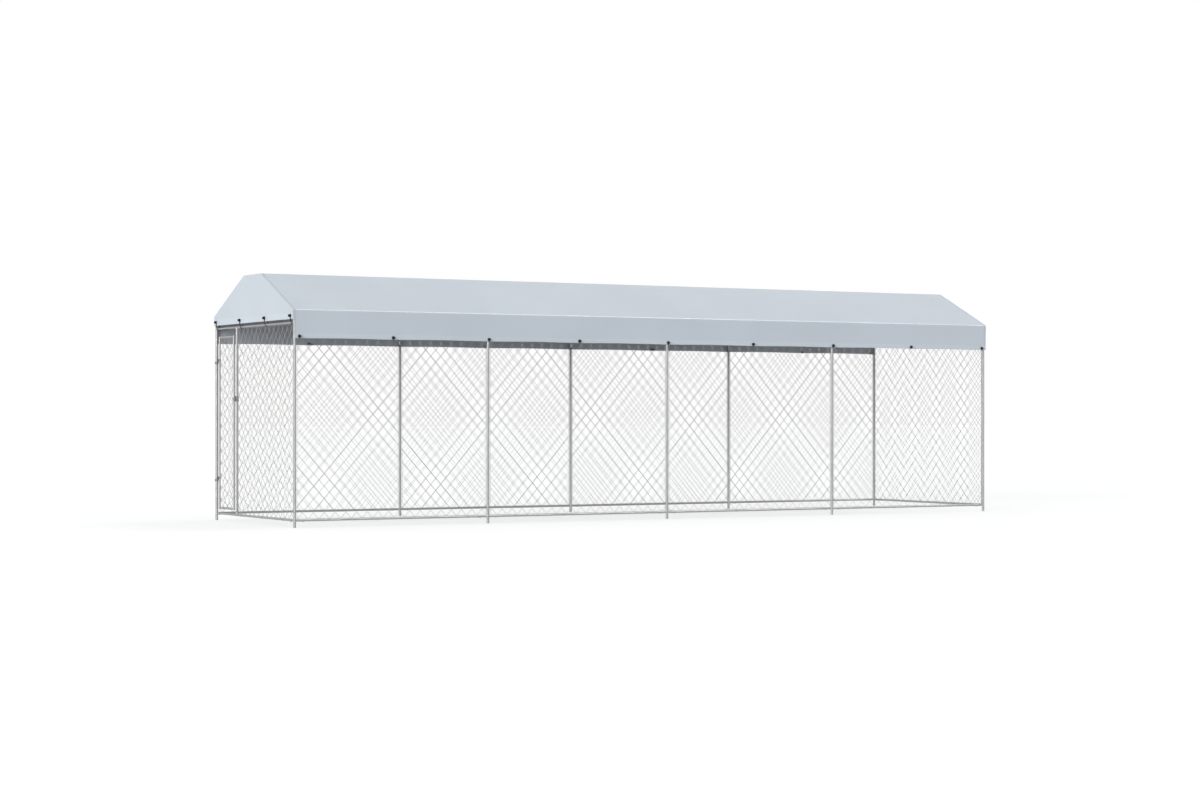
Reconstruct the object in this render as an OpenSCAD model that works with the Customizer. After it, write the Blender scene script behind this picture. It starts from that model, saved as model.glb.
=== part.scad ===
// Outdoor dog kennel run: a galvanised tube frame clad with chain-link nets, a hinged door
// in one end, and a sheet roof on five bows that ball bungees hold down.
// X runs along the run with the door end at -X, Y runs across it, and Z is up from the ground.

/* [Run] */
// Distance between the corner posts along the run, centre to centre
run_length = 7575; // [6800:5:8400]
// Distance between the corner posts across the run, centre to centre
run_width = 1876; // [1700:2:2200]
// Length of the first and the last bay, centre to centre of their posts
end_bay = 1886; // [1700:1:2050]

/* [Tubes] */
// Diameter of the posts, rafters and roof ties
post_d = 25; // [22:0.5:30]
// Wall of the posts, rafters and roof ties
post_wall = 1.2; // [0.8:0.1:2]
// Diameter of the rails, the purlins and the door's tubes
rail_d = 19; // [17:0.5:22]
// Wall of the rails, the purlins and the door's tubes
rail_wall = 1; // [0.8:0.1:1.5]
// Height of the bottom rails' centres
bottom_rail_z = 65; // [50:1:120]
// Height of the centres of the two end walls' top rails
end_rail_z = 1787; // [1760:1:1795]

/* [Joints] */
// Gap between a rail's end and the post or sleeve that it runs up to
end_gap = 3; // [1:0.5:6]
// Radial clearance of a stub in its rail, and of a tube in its sleeve or band
slip = 0.3; // [0.2:0.05:0.5]
// Clearance left by a weld between two coped tubes
weld_gap = 0.05; // [0.02:0.01:0.1]
// Reach of a rail stub from the post's centre
stub_reach = 115; // [100:1:150]
// Wall of a rail stub
stub_wall = 1.5; // [1:0.1:2.5]
// Reach of a connector's sleeve from the connector's corner
sleeve_reach = 90; // [70:1:95]
// Distance from the connector's corner at which a sleeve's bore ends
sleeve_stop = 20; // [16:1:30]
// Wall of a connector's sleeve
sleeve_wall = 1.5; // [1:0.1:2.5]
// Distance of a rail's screw from the centre of the nearest post
rail_screw = 80; // [50:1:95]
// Distance of a sleeve's screw from the connector's corner
sleeve_screw = 60; // [45:1:65]
// Diameter of a screw's shank
screw_d = 4.8; // [4:0.1:6]
// Length of a screw's shank
screw_length = 9; // [7:0.5:12]
// Width of a screw's hexagon head across its corners
screw_head_d = 9.2; // [8:0.1:12]
// Height of a screw's hexagon head
screw_head_h = 4; // [3:0.5:6]
// Diameter of the flange under a screw's head
screw_flange_d = 12; // [10:0.5:14]

/* [Nets] */
// Width that a diamond of the chain link comes close to
diamond_w = 168; // [160:1:240]
// Height that a diamond of the chain link comes close to
diamond_h = 180; // [170:1:240]
// Width of the net's wires
wire_w = 3; // [2:0.1:4]
// Depth of the two crossing wires together
net_depth = 5; // [4:0.1:6]
// Gap between a net's edge wire and the rails above and below it
net_seat = 0.3; // [0.2:0.05:0.6]
// Gap between a net's edge wire and the bands on the posts beside it
net_side_gap = 4.5; // [4:0.1:8]
// Gap between the door net's edge wire and the straps on the door's stiles
door_net_gap = 0.7; // [0.5:0.1:3]
// Diameter of the wire of the rings that tie a net to its rails
tie_d = 2; // [1.5:0.1:3]
// Clearance of a tie ring round the rail and the net's edge wire
tie_gap = 0.6; // [0.5:0.05:1]

/* [Roof] */
// Height of the roof sheet's flat top
roof_height = 2250; // [2150:1:2400]
// Height of the eaves, where the sheet bends down
eave_height = 1900; // [1890:1:1990]
// Width of the roof sheet's flat top
roof_top = 410; // [320:1:600]
// Distance of the valances' outer faces from the centres of the side posts
valance_out = 20; // [19:0.5:30]
// Height of the valances' lower edges
valance_z = 1649; // [1560:1:1740]
// Distance of the gables' outer faces from the centres of the corner posts
gable_out = 20; // [19:0.5:30]
// Height of the gables' lower edges
gable_z = 1816; // [1806:1:1826]
// Distance of the valances' door ends from the door gable's face
valance_inset = 26; // [5:1:60]
// Thickness of the roof sheet
sheet_t = 2; // [1:0.1:3]
// Gap between the roof sheet and the connectors that carry it
sheet_seat = 0.4; // [0.2:0.05:0.8]

/* [Bungees] */
// Diameter of a bungee's ball
ball_d = 26; // [22:0.5:32]
// Diameter of the hole through a ball
ball_bore = 10; // [9.6:0.1:12]
// Diameter of a bungee's elastic cord
elastic_d = 4; // [3:0.1:4.5]
// Clearance of an elastic round the tube or wire that it holds
elastic_gap = 0.3; // [0.2:0.05:0.6]
// Diameter of the hole in an eyelet
eyelet_bore = 16; // [14:0.5:18]
// Width of an eyelet's flange
eyelet_flange = 5; // [3:0.5:7]
// Thickness of an eyelet's metal
eyelet_t = 0.8; // [0.5:0.1:1.2]
// Height of the valance eyelets above the valances' lower edges
valance_eyelet = 18; // [15:0.5:40]
// Height of the gable eyelets above the gables' lower edges
gable_eyelet = 31; // [20:0.5:50]
// Distance of the outer valance bungees from the centres of the corner posts
corner_bungee = 36.5; // [34:0.5:60]
// Distance of the mid-bay bungees from the middles of their bays, away from the run's middle
mid_bungee = 10; // [0:1:30]
// Spacing of the bungees along a gable
gable_pitch = 597; // [560:1:598]

/* [Door] */
// Distance from the corner post that carries the door to the door post, centre to centre
doorway = 516; // [440:1:640]
// Distance from that corner post to the door's hinge stile, centre to centre
hinge_gap = 74; // [66:1:90]
// Distance from the door post to the door's latch stile, centre to centre
latch_gap = 78; // [76:1:86]
// Height of the centre of the door's bottom rail
door_low = 117; // [100:1:160]
// Height of the centre of the door's top rail
door_high = 1705; // [1600:1:1750]
// Heights of the faces on which the door's hinge barrels ride
lower_hinge_z = 385; // [250:1:600]
// Height of the upper hinge's face
upper_hinge_z = 1482; // [1200:1:1560]
// Diameter of a hinge pin
pin_d = 10; // [8:0.5:12]
// Radial running clearance of a hinge pin or of the latch's rivet
run_fit = 0.05; // [0.03:0.01:0.09]
// Diameter of a hinge barrel
barrel_d = 18; // [16:0.5:20]
// Height of a hinge barrel
barrel_h = 22; // [16:0.5:30]
// Wall of the bands clamped round posts and stiles
band_wall = 3; // [2:0.1:3.4]
// Height of a hinge band
band_h = 22; // [16:0.5:30]
// Thickness of the arm under a hinge pin
arm_t = 6; // [4:0.5:8]
// Gap under a hinge barrel
barrel_seat = 0.3; // [0.2:0.05:0.5]
// Length of a band's clamping ears
ear_length = 14; // [12:0.5:18]
// Thickness of a band's clamping ears
ear_t = 3; // [2:0.1:4]
// Gap between a band's clamping ears
ear_gap = 4; // [3:0.5:6]
// Diameter of the bolts that clamp the bands
bolt_d = 6; // [5:0.5:7]

/* [Latch] */
// Height of the latch bar's rivet
latch_z = 1129; // [900:1:1300]
// Height of the latch keeper
keeper_h = 45; // [40:1:60]
// Reach of the keeper's cover beyond the door post's centre, outwards
keeper_out = 26; // [22:0.5:32]
// Distance from the latch stile's centre to the latch bar's rivet
rivet_reach = 19; // [18.5:0.5:22]
// Diameter of the latch bar's rivet
rivet_d = 6; // [5:0.5:7]
// Thickness of the latch bar
bar_t = 6; // [5:0.5:7]
// Height of the latch bar
bar_h = 14; // [12:0.5:15]
// Reach of the latch bar from its rivet
bar_reach = 40; // [36:0.5:41]
// Angle at which the latch bar stands lifted out of the keeper
bar_lift = 38; // [38:1:45]

/* [Hidden] */
$fn = 64;
half_l = run_length / 2;
half_w = run_width / 2;
post_x = [-half_l, end_bay - half_l, 0, half_l - end_bay, half_l];
bay_count = len(post_x) - 1;
stub_d = rail_d - 2 * rail_wall - 2 * slip;
sleeve_bore = post_d + 2 * slip;
sleeve_d = sleeve_bore + 2 * sleeve_wall;
hole_d = screw_d + 0.2;
seat_gap = 0.1;
cut = 1;

// Roof: the sheet's outer profile, and the axes of the tubes under it
sheet_y = half_w + valance_out;
roof_angle = atan2(roof_height - eave_height, sheet_y - roof_top / 2);
axis_drop = sleeve_d / 2 + sheet_seat + sheet_t;
eave_z = eave_height + valance_out * tan(roof_angle) - axis_drop / cos(roof_angle);
ridge_z = roof_height - axis_drop;
ridge_y = half_w - (ridge_z - eave_z) / tan(roof_angle);
rafter_length = (half_w - ridge_y) / cos(roof_angle);
tube_stop = sleeve_stop + slip;

// Nets: clear edges beside posts, and the places of ties and bungees
net_edge = sleeve_bore / 2 + band_wall + net_side_gap;
rail_clear = rail_d / 2 + net_seat;
stile_edge = rail_d / 2 + slip + band_wall + door_net_gap;
edge_loop = (net_seat + wire_w) / 2;

// Bungees
eyelet_d = eyelet_bore + 2 * eyelet_flange;
ball_out = eyelet_t + seat_gap + sqrt(ball_d * ball_d - eyelet_bore * eyelet_bore) / 2 + seat_gap;
valance_bungee_z = valance_z + valance_eyelet;
gable_bungee_z = gable_z + gable_eyelet;
strand = elastic_d / 2 + 0.3;

// Door and latch
door_x = -half_l;
door_post_y = half_w - doorway;
hinge_stile_y = half_w - hinge_gap;
latch_stile_y = door_post_y + latch_gap;
pin_reach = hinge_gap / 2;
post_band_d = sleeve_bore + 2 * band_wall;
stile_bore = rail_d + 2 * slip;
stile_band_d = stile_bore + 2 * band_wall;
rivet_y = latch_stile_y - rivet_reach;
cheek_gap = 0.4;
keeper_slot = bar_t + 2;

galvanised = "Silver";
wire_grey = "DarkGray";
sheet_grey = "LightSteelBlue";
dark_zinc = "DimGray";

// The near side is drawn at -Y, and the far side is its mirror image
module on_side(side) {
    if (side == "near") children();
    else mirror([0, 1, 0]) children();
}

// A tube that starts at the origin and runs along +Z
module tube(length, d, wall) {
    difference() {
        cylinder(d = d, h = length);
        translate([0, 0, -cut]) cylinder(d = d - 2 * wall, h = length + 2 * cut);
    }
}

// Turns a shape drawn along +Z so that it runs along +X or along +Y
module along_x() { rotate([0, 90, 0]) children(); }
module along_y() { rotate([-90, 0, 0]) children(); }

// A hole through one wall of a tube on the Z axis, on the side that the angle points to
module wall_hole(z, angle) {
    translate([0, 0, z]) rotate([0, 90, angle]) cylinder(d = hole_d, h = post_d);
}

// A screw whose flange lies on the plane z = 0, with its shank along +Z
module screw() {
    translate([0, 0, -screw_head_h]) cylinder(d = screw_head_d, h = screw_head_h, $fn = 6);
    translate([0, 0, -eyelet_t]) cylinder(d = screw_flange_d, h = eyelet_t);
    cylinder(d = screw_d, h = screw_length);
}

// A screw in the wall of a tube on the Z axis, at the same place as wall_hole
module wall_screw(z, angle, d) {
    translate([0, 0, z]) rotate([0, 90, angle]) translate([0, 0, d / 2 + seat_gap])
        rotate([180, 0, 0]) screw();
}

// Posts
module post(x, side) {
    color(galvanised) on_side(side) translate([x, -half_w, 0]) difference() {
        tube(eave_z - tube_stop, post_d, post_wall);
        wall_hole(eave_z - sleeve_screw, 90);
    }
}

module door_post() {
    color(galvanised) difference() {
        translate([door_x, door_post_y, bottom_rail_z])
            tube(end_rail_z - bottom_rail_z, post_d, post_wall);
        for (z = [bottom_rail_z, end_rail_z])
            translate([door_x, door_post_y - post_d, z]) along_y()
                cylinder(d = rail_d + 2 * weld_gap, h = 2 * post_d);
    }
}

// A rail along +Z with a screw hole near each end, on the side that the angle points to
module rail(length, start, angle) {
    difference() {
        tube(length, rail_d, rail_wall);
        for (z = [rail_screw - start, length - rail_screw + start]) wall_hole(z, angle);
    }
}

post_start = post_d / 2 + end_gap;
sleeve_start = sleeve_d / 2 + end_gap;

module side_rails(side, y, z, start, angle) {
    color(galvanised) on_side(side) for (i = [0 : bay_count - 1])
        translate([post_x[i] + start, -y, z]) along_x()
            rail(post_x[i + 1] - post_x[i] - 2 * start, start, angle);
}

module end_rail(x, z, angle) {
    color(galvanised) translate([x, post_start - half_w, z]) along_y()
        rail(run_width - 2 * post_start, post_start, angle);
}

// Stubs welded to the posts, on which the rails slide
module stub(angle) {
    difference() {
        tube(stub_reach, stub_d, stub_wall);
        rotate([0, 90, 0]) cylinder(d = post_d + 2 * weld_gap, h = 2 * post_d, center = true);
        wall_hole(rail_screw, angle);
    }
}

module rail_stubs() {
    color(galvanised) {
        for (side = ["near", "far"]) on_side(side) {
            for (i = [0 : bay_count]) translate([post_x[i], -half_w, bottom_rail_z]) {
                if (i < bay_count) rotate([0, 90, 0]) stub(0);
                if (i > 0) rotate([0, -90, 0]) stub(180);
            }
            for (x = [-half_l, half_l]) {
                translate([x, -half_w, bottom_rail_z]) rotate([-90, 0, 0]) rotate([0, 0, 90]) stub(0);
                translate([x, -half_w, end_rail_z]) rotate([-90, 0, 0]) rotate([0, 0, 90])
                    stub(x < 0 ? -90 : 90);
            }
        }
    }
}

// Roof bows: connectors at the eaves and the ridges, with straight tubes between them
module sleeve_bores(reach) {
    translate([0, 0, sleeve_stop]) cylinder(d = sleeve_bore, h = reach);
}

module purlin_stubs(sides) {
    for (turn = sides) rotate([0, 90 * turn, 0]) difference() {
        cylinder(d = stub_d, h = stub_reach);
        translate([0, 0, sleeve_d / 2]) cylinder(d = stub_d - 2 * stub_wall, h = stub_reach);
    }
}

function stub_sides(i) = [if (i > 0) -1, if (i < bay_count) 1];

// The post hangs below the corner, and the rafter rises inwards from it
module eave_connector(sides, angle) {
    difference() {
        union() {
            sphere(d = sleeve_d);
            translate([0, 0, -sleeve_reach]) cylinder(d = sleeve_d, h = sleeve_reach);
            rotate([roof_angle - 90, 0, 0]) cylinder(d = sleeve_d, h = sleeve_reach);
            purlin_stubs(sides);
        }
        rotate([180, 0, 0]) sleeve_bores(sleeve_reach);
        rotate([roof_angle - 90, 0, 0]) sleeve_bores(sleeve_reach);
        wall_hole(-sleeve_screw, 90);
        rotate([roof_angle - 90, 0, 0]) wall_hole(sleeve_screw, 90);
        for (turn = sides) rotate([0, 90 * turn, 0]) wall_hole(rail_screw, angle);
    }
}

module eave_connectors(side) {
    color(galvanised) on_side(side) for (i = [0 : bay_count])
        translate([post_x[i], -half_w, eave_z]) eave_connector(stub_sides(i), 90);
}

module ridge_connector(sides) {
    difference() {
        union() {
            sphere(d = sleeve_d);
            rotate([90 + roof_angle, 0, 0]) cylinder(d = sleeve_d, h = sleeve_reach);
            rotate([-90, 0, 0]) cylinder(d = sleeve_d, h = sleeve_reach);
            purlin_stubs(sides);
        }
        rotate([90 + roof_angle, 0, 0]) sleeve_bores(sleeve_reach);
        rotate([-90, 0, 0]) sleeve_bores(sleeve_reach);
        rotate([90 + roof_angle, 0, 0]) wall_hole(sleeve_screw, -90);
        rotate([-90, 0, 0]) wall_hole(sleeve_screw, 90);
        for (turn = sides) rotate([0, 90 * turn, 0]) wall_hole(rail_screw, turn > 0 ? 0 : 180);
    }
}

module ridge_connectors(side) {
    color(galvanised) on_side(side) for (i = [0 : bay_count])
        translate([post_x[i], -ridge_y, ridge_z]) ridge_connector(stub_sides(i));
}

module rafters(side) {
    color(galvanised) on_side(side) for (x = post_x)
        translate([x, -half_w, eave_z]) rotate([roof_angle - 90, 0, 0]) difference() {
            translate([0, 0, tube_stop]) tube(rafter_length - 2 * tube_stop, post_d, post_wall);
            for (z = [sleeve_screw, rafter_length - sleeve_screw]) wall_hole(z, 90);
        }
}

module roof_ties() {
    color(galvanised) for (x = post_x) translate([x, -ridge_y, ridge_z]) along_y() difference() {
        translate([0, 0, tube_stop]) tube(2 * (ridge_y - tube_stop), post_d, post_wall);
        for (z = [sleeve_screw, 2 * ridge_y - sleeve_screw]) wall_hole(z, 90);
    }
}

// Chain-link net: a flat lattice of crossing wires inside an edge wire, in the XZ plane
function cells(size, pitch) = max(1, round((size - 2 * wire_w) / pitch));

module diamond_gaps(width, height) {
    columns = cells(width, diamond_w);
    rows = cells(height, diamond_h);
    half_cell = [(width - 2 * wire_w) / columns / 2, (height - 2 * wire_w) / rows / 2];
    inset = wire_w / 2 * norm(half_cell) / (half_cell[0] * half_cell[1]);
    half_gap = half_cell * (1 - inset);
    for (i = [0 : 2 * columns], j = [0 : 2 * rows]) if ((i + j) % 2 == 1)
        translate([wire_w + i * half_cell[0], wire_w + j * half_cell[1]]) polygon([
            if (i > 0) [-half_gap[0], 0],
            if (j > 0) [0, -half_gap[1]],
            if (i < 2 * columns) [half_gap[0], 0],
            if (j < 2 * rows) [0, half_gap[1]]
        ]);
}

module net(width, height) {
    color(wire_grey) rotate([90, 0, 0]) linear_extrude(net_depth, center = true) difference() {
        square([width, height]);
        diamond_gaps(width, height);
    }
}

net_low = bottom_rail_z + rail_clear;
side_net_h = eave_z - rail_clear - net_low;
end_net_h = end_rail_z - rail_clear - net_low;
door_net_low = door_low + rail_clear;
door_net_h = door_high - rail_clear - door_net_low;
door_net_w = hinge_stile_y - latch_stile_y - 2 * stile_edge;
back_net_w = run_width - 2 * net_edge;
door_end_net_w = door_post_y + half_w - 2 * net_edge;

function side_net_w(i) = post_x[i + 1] - post_x[i] - 2 * net_edge;

module side_net(i, side) {
    on_side(side) translate([post_x[i] + net_edge, -half_w, net_low]) net(side_net_w(i), side_net_h);
}

module end_net(x, width) {
    translate([x, net_edge - half_w, net_low]) rotate([0, 0, 90]) net(width, end_net_h);
}

module door_net() {
    translate([door_x, latch_stile_y + stile_edge, door_net_low]) rotate([0, 0, 90])
        net(door_net_w, door_net_h);
}

// Rings of wire that tie a net's edge wires to the rails, in every third gap along the edge
module tie_ring() {
    rotate([0, 90, 0]) rotate_extrude()
        translate([rail_d / 2 + edge_loop + tie_gap + tie_d / 2, 0]) circle(d = tie_d);
}

module edge_ties(width, height) {
    columns = cells(width, diamond_w);
    half_cell = (width - 2 * wire_w) / columns / 2;
    shift = edge_loop - rail_clear;
    for (i = [min(3, 2 * columns - 1) : 6 : 2 * columns - 1], z = [shift, height - shift])
        translate([wire_w + i * half_cell, 0, z]) tie_ring();
}

module net_ties() {
    color(galvanised) {
        for (side = ["near", "far"], i = [0 : bay_count - 1]) on_side(side)
            translate([post_x[i] + net_edge, -half_w, net_low]) edge_ties(side_net_w(i), side_net_h);
        translate([-half_l, net_edge - half_w, net_low]) rotate([0, 0, 90])
            edge_ties(door_end_net_w, end_net_h);
        translate([half_l, net_edge - half_w, net_low]) rotate([0, 0, 90])
            edge_ties(back_net_w, end_net_h);
    }
}

module door_ties() {
    color(galvanised) translate([door_x, latch_stile_y + stile_edge, door_net_low])
        rotate([0, 0, 90]) edge_ties(door_net_w, door_net_h);
}

// Roof sheet: one profile of valances, slopes and flat top, and a gable at each end
function outer_half(low) = [[-sheet_y, low], [-sheet_y, eave_height], [-roof_top / 2, roof_height]];

function inner_half(low) = [
    [sheet_t - sheet_y, low],
    [sheet_t - sheet_y, eave_height + sheet_t * tan(roof_angle) - sheet_t / cos(roof_angle)],
    [(roof_height - sheet_t - eave_height + sheet_t / cos(roof_angle)) / tan(roof_angle) - sheet_y,
        roof_height - sheet_t]
];

function across(half) = concat(half, [for (i = [len(half) - 1 : -1 : 0]) [-half[i][0], half[i][1]]]);

function reversed(points) = [for (i = [len(points) - 1 : -1 : 0]) points[i]];

module sheet_run(low, from, to) {
    translate([from, 0, 0]) rotate([90, 0, 90]) linear_extrude(to - from)
        polygon(concat(across(outer_half(low)), reversed(across(inner_half(low)))));
}

gable_x = half_l + gable_out;
sheet_end = gable_x - sheet_t - seat_gap;
valance_start = valance_inset - gable_x;

// Of the valance bungees, those at the corners hold a net's edge wire, the other even ones hold
// the posts, and the odd ones hold a wire of the net between two posts
function bay_middle(i) = (post_x[i] + post_x[i + 1]) / 2;

function post_bungee(i) = post_x[i] + (i == 0 ? corner_bungee : i == bay_count ? -corner_bungee : 0);

function net_bungee(i) = bay_middle(i) + (bay_middle(i) < 0 ? -mid_bungee : mid_bungee);

function bungee_x(k) = k % 2 == 0 ? post_bungee(k / 2) : net_bungee(floor(k / 2));

// Of the net's wires that cross the bungees' height, the one nearest to the bungee of a bay
function wire_x(i) =
    let (
        width = side_net_w(i),
        cell_w = (width - 2 * wire_w) / cells(width, diamond_w),
        cell_h = (side_net_h - 2 * wire_w) / cells(side_net_h, diamond_h),
        rise = (valance_bungee_z - net_low - wire_w) / cell_h,
        shift = rise - floor(rise),
        start = post_x[i] + net_edge + wire_w,
        ball = (net_bungee(i) - start) / cell_w,
        up = round(ball - shift) + shift,
        down = round(ball + shift) - shift
    )
    start + cell_w * (abs(up - ball) < abs(down - ball) ? up : down);

function held_x(k) =
    k == 0 ? post_x[0] + net_edge + wire_w / 2 :
    k == 2 * bay_count ? post_x[bay_count] - net_edge - wire_w / 2 :
    k % 2 == 0 ? post_x[k / 2] : wire_x(floor(k / 2));

function held_r(k) =
    k == 0 || k == 2 * bay_count ? norm([wire_w, net_depth]) / 2 :
    k % 2 == 0 ? post_d / 2 : norm([wire_w * 1.4 + elastic_d / 2, net_depth]) / 2 + elastic_d / 4;

module valance_eyelets_at() {
    for (side = ["near", "far"], k = [0 : 2 * bay_count]) on_side(side)
        translate([bungee_x(k), -sheet_y, valance_bungee_z]) rotate([90, 0, 0]) children();
}

module gable_eyelets_at(ends) {
    for (x = ends, k = [-1.5 : 1 : 1.5])
        translate([x * gable_x, k * gable_pitch, gable_bungee_z]) rotate([0, 90 * x, 0]) children();
}

module eyelet_hole() {
    translate([0, 0, -sheet_t - cut])
        cylinder(d = eyelet_bore + 2 * (eyelet_t + seat_gap), h = sheet_t + 2 * cut);
}

module roof_sheet() {
    color(sheet_grey) difference() {
        union() {
            sheet_run(valance_z, valance_start, sheet_end);
            sheet_run(gable_z, -sheet_end, valance_start);
        }
        valance_eyelets_at() eyelet_hole();
    }
}

module gable(end) {
    color(sheet_grey) difference() {
        translate([end > 0 ? gable_x - sheet_t : -gable_x, 0, 0]) rotate([90, 0, 90])
            linear_extrude(sheet_t) polygon(across(outer_half(gable_z)));
        gable_eyelets_at([end]) eyelet_hole();
    }
}

// Eyelets: a barrel through the sheet with a flange on each face
module eyelet() {
    low = -sheet_t - seat_gap;
    bore_r = eyelet_bore / 2;
    rotate_extrude() polygon([
        [bore_r, low - eyelet_t],
        [eyelet_d / 2, low - eyelet_t],
        [eyelet_d / 2, low],
        [bore_r + eyelet_t, low],
        [bore_r + eyelet_t, seat_gap],
        [eyelet_d / 2, seat_gap],
        [eyelet_d / 2, seat_gap + eyelet_t],
        [bore_r, seat_gap + eyelet_t]
    ]);
}

module eyelets() {
    color(galvanised) {
        valance_eyelets_at() eyelet();
        gable_eyelets_at([-1, 1]) eyelet();
    }
}

// Ball bungees: a ball outside each eyelet, and an elastic loop round what it holds
module ball() {
    translate([0, 0, ball_out]) difference() {
        sphere(d = ball_d);
        cylinder(d = ball_bore, h = 2 * ball_d, center = true);
    }
}

module bungee_balls() {
    color("Black") {
        valance_eyelets_at() ball();
        gable_eyelets_at([-1, 1]) ball();
    }
}

// A path moved sideways by d, for a closed path that runs anticlockwise
function moved_out(path, d) = [
    for (i = [0 : len(path) - 1])
        let (
            before = path[i] - path[(i + len(path) - 1) % len(path)],
            after = path[(i + 1) % len(path)] - path[i],
            out_1 = [before[1], -before[0]] / norm(before),
            out_2 = [after[1], -after[0]] / norm(after)
        )
        path[i] + d * (out_1 + out_2) / (1 + out_1 * out_2)
];

// Points of an arc round the origin, set so that the chords keep the arc's radius clear
function arc(r, from, to, steps) = [
    for (k = [0 : steps])
        let (a = from + (to - from) * k / steps)
        r / cos((to - from) / steps / 2) * [cos(a), sin(a)]
];

module elastic(path) {
    linear_extrude(elastic_d, center = true) difference() {
        polygon(moved_out(path, elastic_d / 2));
        polygon(moved_out(path, -elastic_d / 2));
    }
}

// A loop in the XY plane round a post or wire at the origin, which closes towards +X at a ball
// that stands to one side of it
module elastic_loop(hold_r, aside) {
    inner_r = hold_r + elastic_gap;
    outer_r = inner_r + elastic_d;
    half_neck = strand + elastic_d / 2;
    loop_end = valance_out + ball_out - elastic_d;
    reach = norm([loop_waist, aside]);
    aim = atan2(aside, loop_waist);
    leave = acos((outer_r - half_neck) / reach);
    apex = max(inner_r + elastic_gap, reach - 2 * elastic_d);
    split = acos(inner_r / apex);
    linear_extrude(elastic_d, center = true) difference() {
        polygon(concat(
            [for (p = [[loop_end, -1], [loop_end, 1], [loop_waist, 1]]) [p[0], aside + p[1] * half_neck]],
            arc(outer_r, aim + leave, aim - leave + 360, 12),
            [[loop_waist, aside - half_neck]]
        ));
        polygon(concat(
            [apex * [cos(aim), sin(aim)]],
            arc(inner_r, aim + split, aim - split + 360, 12)
        ));
    }
}

loop_waist = valance_out - sheet_t - eyelet_t - seat_gap - elastic_gap - elastic_d / 2;

module valance_loops() {
    for (side = ["near", "far"], k = [0 : 2 * bay_count]) on_side(side)
        translate([held_x(k), -half_w, valance_bungee_z]) rotate([0, 0, -90])
            elastic_loop(held_r(k), bungee_x(k) - held_x(k));
}

// At a gable the elastic runs down inside the sheet, round the end wall's top rail and the
// net's edge wire below it
module gable_loop() {
    wrap = rail_d / 2 + edge_loop + tie_gap + elastic_d / 2;
    rise = gable_bungee_z - end_rail_z + edge_loop;
    bend = gable_out - sheet_t - eyelet_t - elastic_d;
    loop_end = gable_out + ball_out - elastic_d;
    inner = [0, rise + strand];
    outer = [bend, rise - strand];
    from = atan2(inner[1], inner[0]) + acos(wrap / norm(inner));
    to = atan2(outer[1], outer[0]) - acos(wrap / norm(outer)) + 360;
    rotate([90, 0, 0]) elastic(concat(
        [[loop_end, rise - strand], [loop_end, rise + strand], inner],
        arc(wrap, from, to, 8),
        [outer]
    ));
}

module bungee_loops() {
    color("Black") {
        valance_loops();
        for (turn = [0, 180], k = [-1.5 : 1 : 1.5]) rotate([0, 0, turn])
            translate([half_l, k * gable_pitch, end_rail_z - edge_loop]) gable_loop();
    }
}

// Screws: under the bottom rails and purlins, and on the inner side of the other joints
module side_screws() {
    for (i = [0 : bay_count], turn = stub_sides(i)) translate([post_x[i], -half_w, 0]) {
        translate([0, 0, bottom_rail_z]) rotate([0, 90 * turn, 0])
            wall_screw(rail_screw, turn > 0 ? 0 : 180, rail_d);
        translate([0, 0, eave_z]) rotate([0, 90 * turn, 0]) wall_screw(rail_screw, 90, rail_d);
        translate([0, half_w - ridge_y, ridge_z]) rotate([0, 90 * turn, 0])
            wall_screw(rail_screw, turn > 0 ? 0 : 180, rail_d);
    }
}

module bow_screws() {
    for (x = post_x) {
        translate([x, -half_w, eave_z]) {
            wall_screw(-sleeve_screw, 90, sleeve_d);
            rotate([roof_angle - 90, 0, 0]) wall_screw(sleeve_screw, 90, sleeve_d);
        }
        translate([x, -ridge_y, ridge_z]) {
            rotate([90 + roof_angle, 0, 0]) wall_screw(sleeve_screw, -90, sleeve_d);
            rotate([-90, 0, 0]) wall_screw(sleeve_screw, 90, sleeve_d);
        }
    }
}

module end_screws() {
    for (x = [-half_l, half_l]) {
        translate([x, -half_w, bottom_rail_z]) along_y() wall_screw(rail_screw, 90, rail_d);
        translate([x, -half_w, end_rail_z]) along_y() wall_screw(rail_screw, x < 0 ? 0 : 180, rail_d);
    }
}

module frame_screws() {
    color(dark_zinc) for (side = ["near", "far"]) on_side(side) {
        side_screws();
        bow_screws();
        end_screws();
    }
}

// A band clamped round a tube on the Z axis, with its ears towards +X
module band(bore, height) {
    ear_start = bore / 2 + band_wall / 2;
    ear_y = ear_gap / 2 + ear_t;
    difference() {
        union() {
            cylinder(d = bore + 2 * band_wall, h = height);
            translate([ear_start, -ear_y, 0]) cube([ear_length, 2 * ear_y, height]);
            children();
        }
        translate([0, 0, -barrel_h]) cylinder(d = bore, h = height + 2 * barrel_h);
        translate([0, -ear_gap / 2, -cut]) cube([bore + ear_length, ear_gap, height + 2 * cut]);
        translate([ear_bolt(bore), 0, height / 2]) rotate([90, 0, 0])
            cylinder(d = bolt_d + 2 * slip, h = 4 * ear_y, center = true);
    }
}

function ear_bolt(bore) = bore / 2 + band_wall / 2 + ear_length - bolt_d;

// The bolt of a band: a hexagon head on one ear and a nut on the other
module band_bolt(bore, height) {
    face = ear_gap / 2 + ear_t + seat_gap;
    head_h = bolt_d * 0.7;
    translate([ear_bolt(bore), 0, height / 2]) rotate([90, 0, 0]) {
        cylinder(d = bolt_d, h = 2 * (face + head_h + seat_gap), center = true);
        for (turn = [0, 180]) rotate([turn, 0, 0]) translate([0, 0, face])
            cylinder(d = bolt_d * 1.8, h = head_h, $fn = 6);
    }
}

// Hinges: a band with an upright pin on the corner post, and a strap with a barrel on the door
module at_hinges(y, turn) {
    for (z = [lower_hinge_z, upper_hinge_z]) translate([door_x, y, z]) rotate([0, 0, turn]) children();
}

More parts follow.
